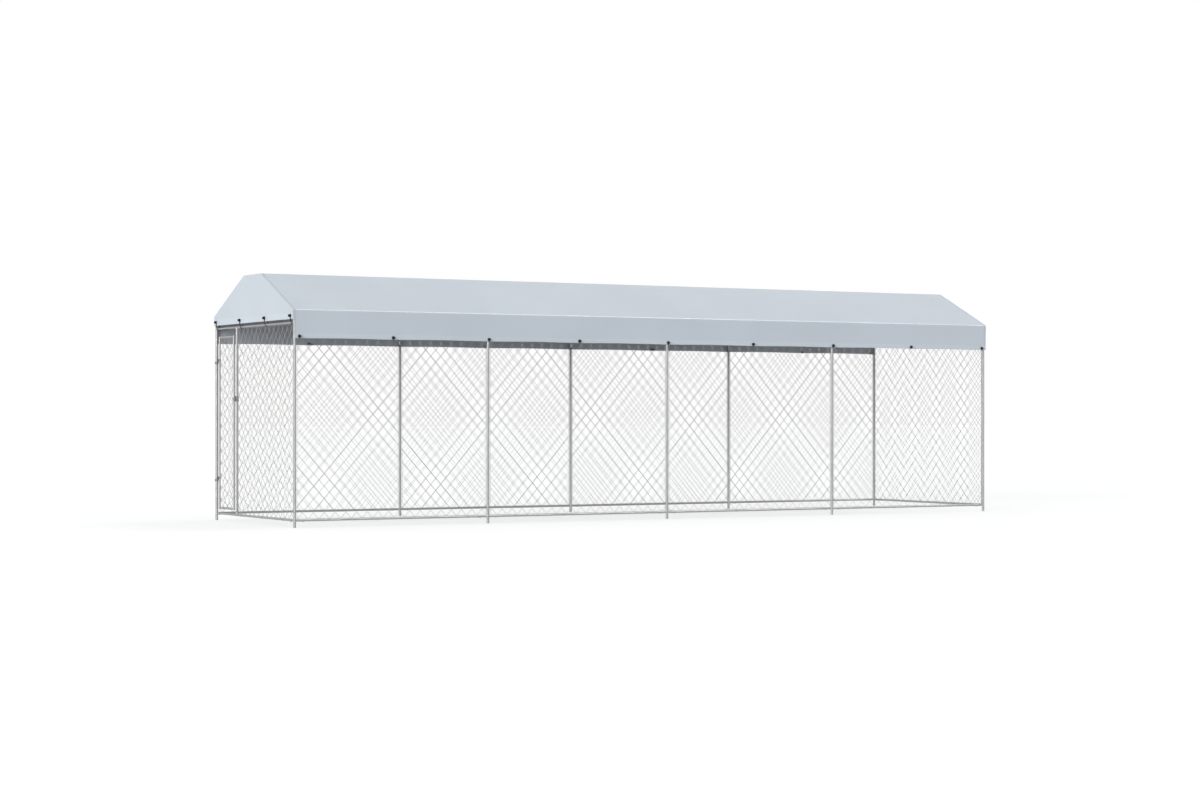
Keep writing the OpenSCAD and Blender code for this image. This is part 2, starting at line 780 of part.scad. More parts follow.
module hinge_bands() {
    color(dark_zinc) at_hinges(half_w, 90) translate([0, 0, -band_h]) {
        band(sleeve_bore, band_h) {
            translate([-pin_reach, -pin_d / 2, band_h - arm_t]) cube([pin_reach, pin_d, arm_t]);
            translate([-pin_reach, 0, band_h - arm_t]) cylinder(d = barrel_d, h = arm_t);
            translate([-pin_reach, 0, band_h - arm_t])
                cylinder(d = pin_d, h = arm_t + barrel_seat + barrel_h + arm_t / 2);
        }
    }
}

module hinge_bolts() {
    color(dark_zinc) at_hinges(half_w, 90) translate([0, 0, -band_h]) band_bolt(sleeve_bore, band_h);
}

module door_straps() {
    web_t = pin_d * 0.6;
    color(dark_zinc) at_hinges(hinge_stile_y, 180) translate([0, 0, barrel_seat]) difference() {
        band(stile_bore, barrel_h) {
            translate([0, -pin_reach, 0]) cylinder(d = barrel_d, h = barrel_h);
            translate([-web_t / 2, -pin_reach, 0]) cube([web_t, pin_reach, barrel_h]);
        }
        translate([0, -pin_reach, -cut]) cylinder(d = pin_d + 2 * run_fit, h = barrel_h + 2 * cut);
    }
}

module strap_bolts() {
    color(dark_zinc) at_hinges(hinge_stile_y, 180) translate([0, 0, barrel_seat])
        band_bolt(stile_bore, barrel_h);
}

// Door frame: two stiles with coped rails between them
module door_stile(y) {
    color(galvanised) translate([door_x, y, door_low - rail_d / 2])
        tube(door_high - door_low + rail_d, rail_d, rail_wall);
}

module door_rail(z) {
    color(galvanised) difference() {
        translate([door_x, latch_stile_y, z]) along_y()
            tube(hinge_stile_y - latch_stile_y, rail_d, rail_wall);
        for (y = [latch_stile_y, hinge_stile_y]) translate([door_x, y, z])
            cylinder(d = rail_d + 2 * weld_gap, h = 2 * rail_d, center = true);
    }
}

// Latch: a slotted keeper on the door post, and a bar on the door that drops into the slot
module latch_keeper() {
    horn_from = post_band_d / 2 - band_wall / 2;
    horn_to = latch_gap - rivet_reach - bar_h * 1.2;
    horn_t = keeper_slot / 2 + ear_t;
    color(dark_zinc) translate([door_x, door_post_y, latch_z]) difference() {
        union() {
            translate([0, 0, -keeper_h / 2]) cylinder(d = post_band_d, h = keeper_h);
            translate([-keeper_out, -post_d / 2, -keeper_h / 2])
                cube([keeper_out, post_d, keeper_h]);
            translate([-horn_t, horn_from, -keeper_h / 2])
                cube([2 * horn_t, horn_to - horn_from, keeper_h / 2 + cut]);
        }
        translate([0, 0, -keeper_h]) cylinder(d = sleeve_bore, h = 2 * keeper_h);
        translate([-keeper_slot / 2, post_band_d / 2, -bar_h / 2 - cut])
            cube([keeper_slot, horn_to, keeper_h]);
    }
}

module latch_bracket() {
    cheek_x = bar_t / 2 + cheek_gap;
    cheek_end = rivet_d;
    color(dark_zinc) translate([door_x, latch_stile_y, latch_z]) difference() {
        union() {
            translate([0, 0, -barrel_h / 2]) cylinder(d = stile_band_d, h = barrel_h);
            for (s = [-1, 1]) translate([s * (cheek_x + ear_t / 2), 0, 0]) {
                translate([-ear_t / 2, -rivet_reach, -cheek_end])
                    cube([ear_t, rivet_reach, 2 * cheek_end]);
                translate([0, -rivet_reach, 0]) rotate([0, 90, 0])
                    cylinder(r = cheek_end, h = ear_t, center = true);
            }
            translate([0, -rivet_reach, 0]) rotate([0, 90, 0])
                cylinder(d = rivet_d, h = 2 * (cheek_x + ear_t + cut), center = true);
        }
        translate([0, 0, -barrel_h]) cylinder(d = stile_bore, h = 2 * barrel_h);
        translate([-cheek_x, -rivet_reach, 0]) rotate([0, 90, 0]) difference() {
            cylinder(r = bar_h / 2 + cheek_gap, h = 2 * cheek_x);
            translate([0, 0, -cut]) cylinder(d = rivet_d, h = 2 * (cheek_x + cut));
        }
    }
}

module latch_bar() {
    tip = bar_reach - bar_h / 2;
    color(dark_zinc) translate([door_x, rivet_y, latch_z]) rotate([-bar_lift, 0, 0])
        translate([-bar_t / 2, 0, 0]) rotate([90, 0, 90]) linear_extrude(bar_t) difference() {
            union() {
                circle(d = bar_h);
                translate([-tip, 0]) circle(d = bar_h);
                translate([-tip, -bar_h / 2]) square([tip, bar_h]);
                translate([-tip, 0]) square([bar_t, bar_h]);
            }
            circle(d = rivet_d + 2 * run_fit);
        }
}

post(post_x[0], "near");  // near_post_1
post(post_x[1], "near");  // near_post_2
post(post_x[2], "near");  // near_post_3
post(post_x[3], "near");  // near_post_4
post(post_x[4], "near");  // near_post_5
post(post_x[0], "far");  // far_post_1
post(post_x[1], "far");  // far_post_2
post(post_x[2], "far");  // far_post_3
post(post_x[3], "far");  // far_post_4
post(post_x[4], "far");  // far_post_5
door_post();
side_rails("near", half_w, bottom_rail_z, post_start, 0);  // near_bottom_rails
side_rails("far", half_w, bottom_rail_z, post_start, 0);  // far_bottom_rails
end_rail(-half_l, bottom_rail_z, 90);  // door_end_bottom_rail
end_rail(half_l, bottom_rail_z, 90);  // back_end_bottom_rail
side_rails("near", half_w, eave_z, sleeve_start, 90);  // near_eave_rails
side_rails("far", half_w, eave_z, sleeve_start, 90);  // far_eave_rails
end_rail(-half_l, end_rail_z, 0);  // door_end_top_rail
end_rail(half_l, end_rail_z, 180);  // back_end_top_rail
rail_stubs();
eave_connectors("near");  // near_eave_connectors
eave_connectors("far");  // far_eave_connectors
ridge_connectors("near");  // near_ridge_connectors
ridge_connectors("far");  // far_ridge_connectors
rafters("near");  // near_rafters
rafters("far");  // far_rafters
roof_ties();
side_rails("near", ridge_y, ridge_z, sleeve_start, 0);  // near_purlins
side_rails("far", ridge_y, ridge_z, sleeve_start, 0);  // far_purlins
side_net(0, "near");  // near_net_1
side_net(1, "near");  // near_net_2
side_net(2, "near");  // near_net_3
side_net(3, "near");  // near_net_4
side_net(0, "far");  // far_net_1
side_net(1, "far");  // far_net_2
side_net(2, "far");  // far_net_3
side_net(3, "far");  // far_net_4
end_net(-half_l, door_end_net_w);  // door_end_net
end_net(half_l, back_net_w);  // back_end_net
net_ties();
roof_sheet();
gable(-1);  // door_gable
gable(1);  // back_gable
eyelets();
bungee_balls();
bungee_loops();
frame_screws();
hinge_bands();
hinge_bolts();
latch_keeper();
door_stile(hinge_stile_y);  // door_hinge_stile
door_stile(latch_stile_y);  // door_latch_stile
door_rail(door_high);  // door_top_rail
door_rail(door_low);  // door_bottom_rail
door_net();
door_ties();
door_straps();
strap_bolts();
latch_bracket();
latch_bar();
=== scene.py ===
"""Outdoor dog kennel run: galvanised tubes, chain-link nets, a hinged door and a sheet roof."""

import math

import bmesh
import bpy
from mathutils import Matrix, Vector


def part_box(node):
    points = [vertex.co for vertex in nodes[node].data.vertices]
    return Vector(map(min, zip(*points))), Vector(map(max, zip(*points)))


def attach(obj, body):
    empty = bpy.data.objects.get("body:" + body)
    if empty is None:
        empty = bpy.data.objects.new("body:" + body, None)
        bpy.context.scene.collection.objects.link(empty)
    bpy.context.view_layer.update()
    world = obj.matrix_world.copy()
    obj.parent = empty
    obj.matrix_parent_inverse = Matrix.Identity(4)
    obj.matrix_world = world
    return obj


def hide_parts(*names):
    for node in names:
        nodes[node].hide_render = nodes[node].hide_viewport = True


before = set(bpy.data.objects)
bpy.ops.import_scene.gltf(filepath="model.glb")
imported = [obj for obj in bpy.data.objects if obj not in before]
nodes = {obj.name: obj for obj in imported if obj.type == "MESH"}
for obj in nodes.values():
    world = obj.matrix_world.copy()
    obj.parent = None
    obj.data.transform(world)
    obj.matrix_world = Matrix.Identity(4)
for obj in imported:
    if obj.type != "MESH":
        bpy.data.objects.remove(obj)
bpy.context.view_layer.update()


# The camera stands low and well back on the near side, towards the door end, so that the long
# side and the door end show together. Its lens is long, and the horizon lies below the middle.
camera_place = Vector((-11.967, -20.562, 0.9645))
camera_aim = Vector((0.4969, 0.8678, 0.0))


def put_in_scene(thing):
    bpy.context.scene.collection.objects.link(thing)


camera_data = bpy.data.cameras.new("camera")
camera_data.sensor_width = 36.0
camera_data.lens = 72.86
camera_data.shift_y = 0.01415
camera_data.clip_end = 500.0
camera = bpy.data.objects.new("camera", camera_data)
camera.location = camera_place
camera.rotation_mode = "QUATERNION"
camera.rotation_quaternion = camera_aim.to_track_quat("-Z", "Y")
put_in_scene(camera)
bpy.context.scene.camera = camera
bpy.context.scene.view_settings.view_transform = "Standard"


# The run stands on a plain white floor in soft studio light. The floor keeps a faint shadow of
# the posts and rails, and what the metal mirrors is the same white.
floor_half = 200.0
floor_glow = 0.63
ambient_strength = 0.56


def add_node(tree, kind, **values):
    node = tree.nodes.new(kind)
    for name, value in values.items():
        setattr(node, name, value)
    return node


def seen_directly(tree):
    """A value of 1 for rays from the camera and for mirrored or refracted ones, and else 0."""
    path = add_node(tree, "ShaderNodeLightPath")
    mirrored = add_node(tree, "ShaderNodeMath", operation="MAXIMUM")
    either = add_node(tree, "ShaderNodeMath", operation="MAXIMUM")
    tree.links.new(path.outputs["Is Glossy Ray"], mirrored.inputs[0])
    tree.links.new(path.outputs["Is Transmission Ray"], mirrored.inputs[1])
    tree.links.new(path.outputs["Is Camera Ray"], either.inputs[0])
    tree.links.new(mirrored.outputs[0], either.inputs[1])
    return either.outputs[0]


world = bpy.data.worlds.new("studio")
world.use_nodes = True
sky = world.node_tree
sky.nodes.clear()
ambient = add_node(sky, "ShaderNodeBackground")
ambient.inputs["Color"].default_value = (0.97, 0.985, 1.0, 1.0)
ambient.inputs["Strength"].default_value = ambient_strength
backdrop = add_node(sky, "ShaderNodeBackground")
backdrop.inputs["Color"].default_value = (1.0, 1.0, 1.0, 1.0)
sky_mix = add_node(sky, "ShaderNodeMixShader")
sky_out = add_node(sky, "ShaderNodeOutputWorld")
sky.links.new(seen_directly(sky), sky_mix.inputs[0])
sky.links.new(ambient.outputs[0], sky_mix.inputs[1])
sky.links.new(backdrop.outputs[0], sky_mix.inputs[2])
sky.links.new(sky_mix.outputs[0], sky_out.inputs[0])
bpy.context.scene.world = world

floor_material = bpy.data.materials.new("studio_floor")
floor_material.use_nodes = True
ground = floor_material.node_tree
ground.nodes.clear()
ground_matt = add_node(ground, "ShaderNodeBsdfDiffuse")
ground_matt.inputs["Color"].default_value = (0.5, 0.5, 0.5, 1.0)
ground_glow = add_node(ground, "ShaderNodeEmission")
ground_share = add_node(ground, "ShaderNodeMath", operation="MULTIPLY")
ground_share.inputs[1].default_value = floor_glow
ground_sum = add_node(ground, "ShaderNodeAddShader")
ground_out = add_node(ground, "ShaderNodeOutputMaterial")
ground.links.new(seen_directly(ground), ground_share.inputs[0])
ground.links.new(ground_share.outputs[0], ground_glow.inputs["Strength"])
ground.links.new(ground_matt.outputs[0], ground_sum.inputs[0])
ground.links.new(ground_glow.outputs[0], ground_sum.inputs[1])
ground.links.new(ground_sum.outputs[0], ground_out.inputs[0])

floor_corners = [(x * floor_half, y * floor_half, 0) for x, y in ((-1, -1), (1, -1), (1, 1), (-1, 1))]
floor_mesh = bpy.data.meshes.new("floor")
floor_mesh.from_pydata(floor_corners, [], [(0, 1, 2, 3)])
floor_mesh.materials.append(floor_material)
floor = bpy.data.objects.new("floor", floor_mesh)
put_in_scene(floor)


def add_sun(name, towards, strength, spread, lights_matt):
    """A soft distant lamp; one that doesn't light matt surfaces only adds a gleam to shiny ones."""
    data = bpy.data.lights.new(name, "SUN")
    data.energy = strength
    data.angle = math.radians(spread)
    lamp = bpy.data.objects.new(name, data)
    lamp.rotation_mode = "QUATERNION"
    lamp.rotation_quaternion = Vector(towards).to_track_quat("-Z", "Y")
    lamp.visible_diffuse = lights_matt
    put_in_scene(lamp)


add_sun("key", (0.85, 0.52, -0.16), strength=2.45, spread=35, lights_matt=True)
add_sun("top", (-0.5, 0.0, -0.87), strength=0.3, spread=20, lights_matt=True)
add_sun("gleam", (-0.5, 0.12, -0.86), strength=1.8, spread=22, lights_matt=False)


# The frame is hot-dip galvanised steel tube: 25 mm posts, rafters and ties, and 19 mm rails, slid on
# stubs that are welded to the posts. The zinc has dried in pale and dark crystals the size of a
# thumbnail, with a soft sheen.
def zinc_bloom_group():
    """Crystals of zinc: a brightness, a roughness and a height that vary over the surface."""
    group = bpy.data.node_groups.new("zinc_bloom", "ShaderNodeTree")
    for name, value in (("Crystal Scale", 70.0), ("Contrast", 0.2), ("Base Roughness", 0.4)):
        socket = group.interface.new_socket(name, in_out="INPUT", socket_type="NodeSocketFloat")
        socket.default_value = value
    for name in ("Brightness", "Roughness", "Height"):
        group.interface.new_socket(name, in_out="OUTPUT", socket_type="NodeSocketFloat")
    given = add_node(group, "NodeGroupInput")
    made = add_node(group, "NodeGroupOutput")
    place = add_node(group, "ShaderNodeTexCoord")
    crystals = add_node(group, "ShaderNodeTexVoronoi", feature="F1")
    crystals.inputs["Randomness"].default_value = 1.0
    streaks = add_node(group, "ShaderNodeTexNoise")
    streaks.inputs["Scale"].default_value = 9.0
    streaks.inputs["Detail"].default_value = 6.0
    split = add_node(group, "ShaderNodeSeparateColor")
    blend = add_node(group, "ShaderNodeMix", data_type="FLOAT")
    blend.inputs[0].default_value = 0.45
    centred = add_node(group, "ShaderNodeMath", operation="SUBTRACT")
    centred.inputs[1].default_value = 0.5
    scaled = add_node(group, "ShaderNodeMath", operation="MULTIPLY")
    bright = add_node(group, "ShaderNodeMath", operation="ADD")
    bright.inputs[1].default_value = 1.0
    rough = add_node(group, "ShaderNodeMath", operation="MULTIPLY_ADD")
    rough.inputs[1].default_value = -0.5
    link = group.links.new
    link(place.outputs["Object"], crystals.inputs["Vector"])
    link(given.outputs["Crystal Scale"], crystals.inputs["Scale"])
    link(place.outputs["Object"], streaks.inputs["Vector"])
    link(crystals.outputs["Color"], split.inputs[0])
    link(split.outputs[0], blend.inputs[2])
    link(streaks.outputs[0], blend.inputs[3])
    link(blend.outputs[0], centred.inputs[0])
    link(centred.outputs[0], scaled.inputs[0])
    link(given.outputs["Contrast"], scaled.inputs[1])
    link(scaled.outputs[0], bright.inputs[0])
    link(bright.outputs[0], made.inputs["Brightness"])
    link(scaled.outputs[0], rough.inputs[0])
    link(given.outputs["Base Roughness"], rough.inputs[2])
    link(rough.outputs[0], made.inputs["Roughness"])
    link(blend.outputs[0], made.inputs["Height"])
    return group


zinc_bloom = zinc_bloom_group()


def new_finish(name):
    """A new material, its node tree and its main shader."""
    material = bpy.data.materials.new(name)
    material.use_nodes = True
    return material, material.node_tree, material.node_tree.nodes["Principled BSDF"]


def tint(tree, shader, colour, shade):
    """Gives the shader a colour, times a shade that varies over the surface."""
    mix = add_node(tree, "ShaderNodeMix", data_type="RGBA", blend_type="MULTIPLY")
    mix.inputs[0].default_value = 1.0
    mix.inputs[6].default_value = (*colour, 1.0)
    tree.links.new(shade, mix.inputs[7])
    tree.links.new(mix.outputs[2], shader.inputs["Base Color"])


def emboss(tree, shader, height, strength, distance):
    """Gives the shader a relief from a height that varies over the surface."""
    relief = add_node(tree, "ShaderNodeBump")
    relief.inputs["Strength"].default_value = strength
    relief.inputs["Distance"].default_value = distance
    tree.links.new(height, relief.inputs["Height"])
    tree.links.new(relief.outputs[0], shader.inputs["Normal"])


def zinc_material(name, colour, crystal_scale, contrast, roughness, bump, metal):
    """Zinc-coated steel whose crystals brighten and dull the colour."""
    material, tree, shader = new_finish(name)
    shader.inputs["Metallic"].default_value = metal
    bloom = add_node(tree, "ShaderNodeGroup", node_tree=zinc_bloom)
    bloom.inputs["Crystal Scale"].default_value = crystal_scale
    bloom.inputs["Contrast"].default_value = contrast
    bloom.inputs["Base Roughness"].default_value = roughness
    tint(tree, shader, colour, bloom.outputs["Brightness"])
    tree.links.new(bloom.outputs["Roughness"], shader.inputs["Roughness"])
    emboss(tree, shader, bloom.outputs["Height"], strength=bump, distance=0.001)
    return material


def finish_nodes(names, material):
    for name in names:
        mesh = nodes[name].data
        mesh.materials.clear()
        mesh.materials.append(material)


galvanised = zinc_material(
    "galvanised_tube", (0.37, 0.372, 0.375),
    crystal_scale=70.0, contrast=0.35, roughness=0.4, bump=0.08, metal=0.5,
)
side_tubes = ("bottom_rails", "eave_rails", "purlins", "rafters", "eave_connectors", "ridge_connectors")
tube_nodes = [
    *(f"{side}_post_{i}" for side in ("near", "far") for i in range(1, 6)),
    *(f"{side}_{part}" for side in ("near", "far") for part in side_tubes),
    *(f"{end}_end_{part}_rail" for end in ("door", "back") for part in ("bottom", "top")),
    "door_post",
    "roof_ties",
    "rail_stubs",
    "door_hinge_stile",
    "door_latch_stile",
    "door_top_rail",
    "door_bottom_rail",
]
finish_nodes(tube_nodes, galvanised)


# Hexagon screws go through the rails into the stubs on the posts. They are blackened zinc, so that
# each shows as a small dark head beside its post.
dark_zinc = zinc_material(
    "dark_zinc", (0.085, 0.088, 0.092),
    crystal_scale=220.0, contrast=0.5, roughness=0.45, bump=0.1, metal=0.8,
)
finish_nodes(["frame_screws"], dark_zinc)


# The nets are chain link: upright zigzag wires, each hooked through the next at every bend, so
# that they make diamonds 103 mm wide and 115 mm high. A side's nets are cut from one roll and hung
# in register, and the cut wires end on the wire that runs round each net's edge.
wire_zinc = zinc_material(
    "net_wire", (0.43, 0.425, 0.425),
    crystal_scale=160.0, contrast=0.2, roughness=0.42, bump=0.03, metal=0.6,
)
wire_radius = 0.0019
wire_sides = 5
picket_pitch = 0.0515
bend_rise = 0.05735
hook_share = 0.1
weave_depth = wire_radius
side_bend_z = 0.0172
end_bend_z = 0.0117
bend_x = {"near": -0.0063, "far": 0.0283}
bend_y = {"door": 0.0526, "back": 0.0453}


def socket_id(tree, name):
    return next(s.identifier for s in tree.interface.items_tree if s.name == name)


def wire_rows_tree():
    """A wire drawn along the object's curve, in rows of which every second one is turned."""
    tree = bpy.data.node_groups.new("wire_rows", "GeometryNodeTree")
    face = tree.interface
    face.new_socket("Geometry", in_out="INPUT", socket_type="NodeSocketGeometry")
    face.new_socket("Rows", in_out="INPUT", socket_type="NodeSocketInt")
    face.new_socket("Pitch", in_out="INPUT", socket_type="NodeSocketFloat")
    face.new_socket("Turn", in_out="INPUT", socket_type="NodeSocketFloat")
    face.new_socket("Wire Radius", in_out="INPUT", socket_type="NodeSocketFloat")
    face.new_socket("Sides", in_out="INPUT", socket_type="NodeSocketInt")
    face.new_socket("Material", in_out="INPUT", socket_type="NodeSocketMaterial")
    face.new_socket("Geometry", in_out="OUTPUT", socket_type="NodeSocketGeometry")
    given = add_node(tree, "NodeGroupInput")
    made = add_node(tree, "NodeGroupOutput")
    section = add_node(tree, "GeometryNodeCurvePrimitiveCircle")
    tube = add_node(tree, "GeometryNodeCurveToMesh")
    tube.inputs["Fill Caps"].default_value = True
    step = add_node(tree, "ShaderNodeCombineXYZ")
    line = add_node(tree, "GeometryNodeMeshLine", mode="OFFSET")
    index = add_node(tree, "GeometryNodeInputIndex")
    odd = add_node(tree, "ShaderNodeMath", operation="MODULO")
    odd.inputs[1].default_value = 2.0
    odd_turn = add_node(tree, "ShaderNodeMath", operation="MULTIPLY")
    turn = add_node(tree, "ShaderNodeCombineXYZ")
    rows = add_node(tree, "GeometryNodeInstanceOnPoints")
    real = add_node(tree, "GeometryNodeRealizeInstances")
    smooth = add_node(tree, "GeometryNodeSetShadeSmooth")
    coat = add_node(tree, "GeometryNodeSetMaterial")
    link = tree.links.new
    link(given.outputs["Wire Radius"], section.inputs["Radius"])
    link(given.outputs["Sides"], section.inputs["Resolution"])
    link(given.outputs["Geometry"], tube.inputs["Curve"])
    link(section.outputs["Curve"], tube.inputs["Profile Curve"])
    link(given.outputs["Pitch"], step.inputs["X"])
    link(given.outputs["Rows"], line.inputs["Count"])
    link(step.outputs[0], line.inputs["Offset"])
    link(index.outputs[0], odd.inputs[0])
    link(odd.outputs[0], odd_turn.inputs[0])
    link(given.outputs["Turn"], odd_turn.inputs[1])
    link(odd_turn.outputs[0], turn.inputs["Z"])
    link(line.outputs["Mesh"], rows.inputs["Points"])
    link(tube.outputs["Mesh"], rows.inputs["Instance"])
    link(turn.outputs[0], rows.inputs["Rotation"])
    link(rows.outputs["Instances"], real.inputs["Geometry"])
    link(real.outputs["Geometry"], smooth.inputs["Geometry"])
    link(smooth.outputs["Geometry"], coat.inputs["Geometry"])
    link(given.outputs["Material"], coat.inputs["Material"])
    link(coat.outputs["Geometry"], made.inputs["Geometry"])
    return tree


wire_rows = wire_rows_tree()


def plain_mesh(holder):
    """The evaluated object as a plain mesh."""
    bpy.context.view_layer.update()
    graph = bpy.context.evaluated_depsgraph_get()
    return bpy.data.meshes.new_from_object(holder.evaluated_get(graph))


def wire_mesh(paths, closed, radius, sides, material, rows=1, pitch=0.0, turn=0.0):
    """A plain mesh of wires along the paths, repeated in rows along X."""
    data = bpy.data.curves.new("wire_path", "CURVE")
    data.dimensions = "3D"
    for path in paths:
        spline = data.splines.new("POLY")
        spline.points.add(len(path) - 1)
        for target, point in zip(spline.points, path):
            target.co = (*point, 1.0)
        spline.use_cyclic_u = closed
    holder = bpy.data.objects.new("wire_path", data)
    put_in_scene(holder)
    modifier = holder.modifiers.new("rows", "NODES")
    modifier.node_group = wire_rows
    modifier[socket_id(wire_rows, "Rows")] = rows
    modifier[socket_id(wire_rows, "Pitch")] = pitch
    modifier[socket_id(wire_rows, "Turn")] = turn
    modifier[socket_id(wire_rows, "Wire Radius")] = radius
    modifier[socket_id(wire_rows, "Sides")] = sides
    modifier[socket_id(wire_rows, "Material")] = material
    mesh = plain_mesh(holder)
    bpy.data.objects.remove(holder)
    bpy.data.curves.remove(data)
    return mesh


def joined(name, parts, material):
    """One object at the origin from several meshes, each with the matrix that puts it in place."""
    shape = bmesh.new()
    for mesh, place in parts:
        mesh.transform(place)
        shape.from_mesh(mesh)
    mesh = bpy.data.meshes.new(name)
    shape.to_mesh(mesh)
    shape.free()
    mesh.materials.append(material)
    for face in mesh.polygons:
        face.material_index = 0
        face.use_smooth = True
    piece = bpy.data.objects.new(name, mesh)
    put_in_scene(piece)
    return piece


def picket_place(picket, climb):
    """A zigzag wire's place at a height counted in bends: its share of the pitch, and its depth."""
    bend = math.floor(climb)
    share = climb - bend
    depth = weave_depth * min(1.0, share / hook_share, (1 - share) / hook_share)
    if (picket + bend) % 2 == 0:
        return share, -depth
    return 1.0 - share, depth


def picket_path(picket, base, top, bend_z):
    """One zigzag wire between two heights, across from the bend on its left."""
    first, last = (base - bend_z) / bend_rise, (top - bend_z) / bend_rise
    climbs = [first]
    for bend in range(math.floor(first), math.ceil(last)):
        for share in (0.0, hook_share, 1 - hook_share):
            if first < bend + share < last:
                climbs.append(bend + share)
    climbs.append(last)
    points = []
    for climb in climbs:
        share, depth = picket_place(picket, climb)
        points.append(Vector((share * picket_pitch, depth, bend_z + climb * bend_rise)))
    return points


def kept_between(path, left, right):
    """The stretches of a wire that lie between a net's two upright edges."""
    stretches = [[]]
    for first, second in zip(path, path[1:]):
        run = second.x - first.x
        crossings = sorted(((left - first.x) / run, (right - first.x) / run))
        enter, leave = max(crossings[0], 0.0), min(crossings[1], 1.0)
        if enter >= leave:
            continue
        if enter > 0.0 or not stretches[-1]:
            stretches.append([first.lerp(second, enter)])
        stretches[-1].append(first.lerp(second, leave))
    return [stretch for stretch in stretches if stretch]


def net_wires(paths, closed, **rows):
    """A plain mesh of the nets' wire along the paths."""
    return wire_mesh(paths, closed, wire_radius, wire_sides, wire_zinc, **rows)


def chain_link(name, node, body, bend_along, bend_z):
    """One net: its whole zigzag wires in rows, the cut ones at both ends, and the edge wire."""
    low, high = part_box(node)
    middle = (low + high) / 2
    if high.x - low.x > high.y - low.y:
        wall = Matrix.Translation((0.0, middle.y, 0.0))
        left, right = low.x + wire_radius, high.x - wire_radius
    else:
        wall = Matrix.Translation((middle.x, 0.0, 0.0)) @ Matrix.Rotation(math.pi / 2, 4, "Z")
        left, right = low.y + wire_radius, high.y - wire_radius
    base, top = low.z + wire_radius, high.z - wire_radius
    first = math.ceil((left - bend_along) / picket_pitch)
    last = math.floor((right - bend_along) / picket_pitch)
    half_pitch = Vector((picket_pitch / 2, 0.0, 0.0))
    zigzag = [point - half_pitch for point in picket_path(first, base, top, bend_z)]
    pickets = net_wires([zigzag], False, rows=last - first, pitch=picket_pitch, turn=math.pi)
    start = wall @ Matrix.Translation((bend_along + (first + 0.5) * picket_pitch, 0.0, 0.0))
    cut_wires = []
    for picket in (first - 1, last):
        from_bend = Vector((bend_along + picket * picket_pitch, 0.0, 0.0))
        path = [from_bend + point for point in picket_path(picket, base, top, bend_z)]
        cut_wires += kept_between(path, left, right)
    ends = net_wires(cut_wires, False)
    outline = [(left, 0, base), (right, 0, base), (right, 0, top), (left, 0, top)]
    edge = net_wires([outline], True)
    piece = joined(name, [(pickets, start), (ends, wall), (edge, wall)], wire_zinc)
    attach(piece, body)
    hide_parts(node)


for side in ("near", "far"):
    for bay in range(1, 5):
        chain_link(f"{side}_chain_link_{bay}", f"{side}_net_{bay}", "frame", bend_x[side], side_bend_z)
chain_link("door_end_chain_link", "door_end_net", "frame", bend_y["door"], end_bend_z)
chain_link("back_end_chain_link", "back_end_net", "frame", bend_y["back"], end_bend_z)
chain_link("door_chain_link", "door_net", "door", bend_y["door"], end_bend_z)


# Rings of the nets' wire hold them to the rails, and short ties of softer zinc wire hold their
# upright edges to the posts, and those of the door's net to its stiles. Each tie is bent by hand
# round the tube and the edge wire, a little out of level.
tie_radius = 0.0009
tie_sides = 5
tie_tilt = 0.25
tube_points = 10
wire_points = 4
most_ties = 15
fitting_clear = 0.045
top_clear = 0.06
post_radius = 0.0125
stile_radius = 0.0095
post_x = (-3.7875, -1.9015, 0.0, 1.9015, 3.7875)
post_y = 0.938
door_post_y = 0.422
latch_stile_y = 0.500
hinge_stile_y = 0.864
fittings_z = (0.385, 1.129, 1.482, 1.667)

finish_nodes(["net_ties", "door_ties"], wire_zinc)


def tie_path(tube, wire, radius, height, tilt):
    """A closed loop round a tube and the edge wire beside it."""
    along = (wire - tube).normalized()
    across = Vector((-along.y, along.x))
    tube_round = radius + tie_radius
    wire_round = wire_radius + tie_radius
    lean = math.acos((tube_round - wire_round) / (wire - tube).length)
    path = []
    for k in range(tube_points):
        angle = lean + (2 * math.pi - 2 * lean) * k / (tube_points - 1)
        path.append(tube + tube_round * (math.cos(angle) * along + math.sin(angle) * across))
    for k in range(wire_points):
        angle = lean * (2 * k / (wire_points - 1) - 1)
        path.append(wire + wire_round * (math.cos(angle) * along + math.sin(angle) * across))
    return [(p.x, p.y, height + tilt * (p - tube).dot(along)) for p in path]


def edge_tie_paths(node, tube, wire, radius, first):
    """Ties up one edge of a net, a diamond apart and clear of the fittings on the tubes."""
    low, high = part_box(node)
    paths = []
    for k in range(most_ties):
        height = low.z + wire_radius + (2 * k + first) * bend_rise
        clear = all(abs(height - z) > fitting_clear for z in fittings_z)
        if clear and height < high.z - top_clear:
            tilt = tie_tilt * math.sin(2.3 * k + 9.0 * tube.x)
            paths.append(tie_path(tube, wire, radius, height, tilt))
    return paths


def net_edge_ties(node, tubes, radius, firsts):
    """Ties up both edges of a net between two tubes; firsts are the lowest ties' heights in bends."""
    low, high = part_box(node)
    if tubes[0].y == tubes[1].y:
        wires = [Vector((x, tubes[0].y)) for x in (low.x + wire_radius, high.x - wire_radius)]
    else:
        wires = [Vector((tubes[0].x, y)) for y in (low.y + wire_radius, high.y - wire_radius)]
    paths = []
    for tube, wire, first in zip(tubes, wires, firsts):
        paths += edge_tie_paths(node, tube, wire, radius, first)
    return paths


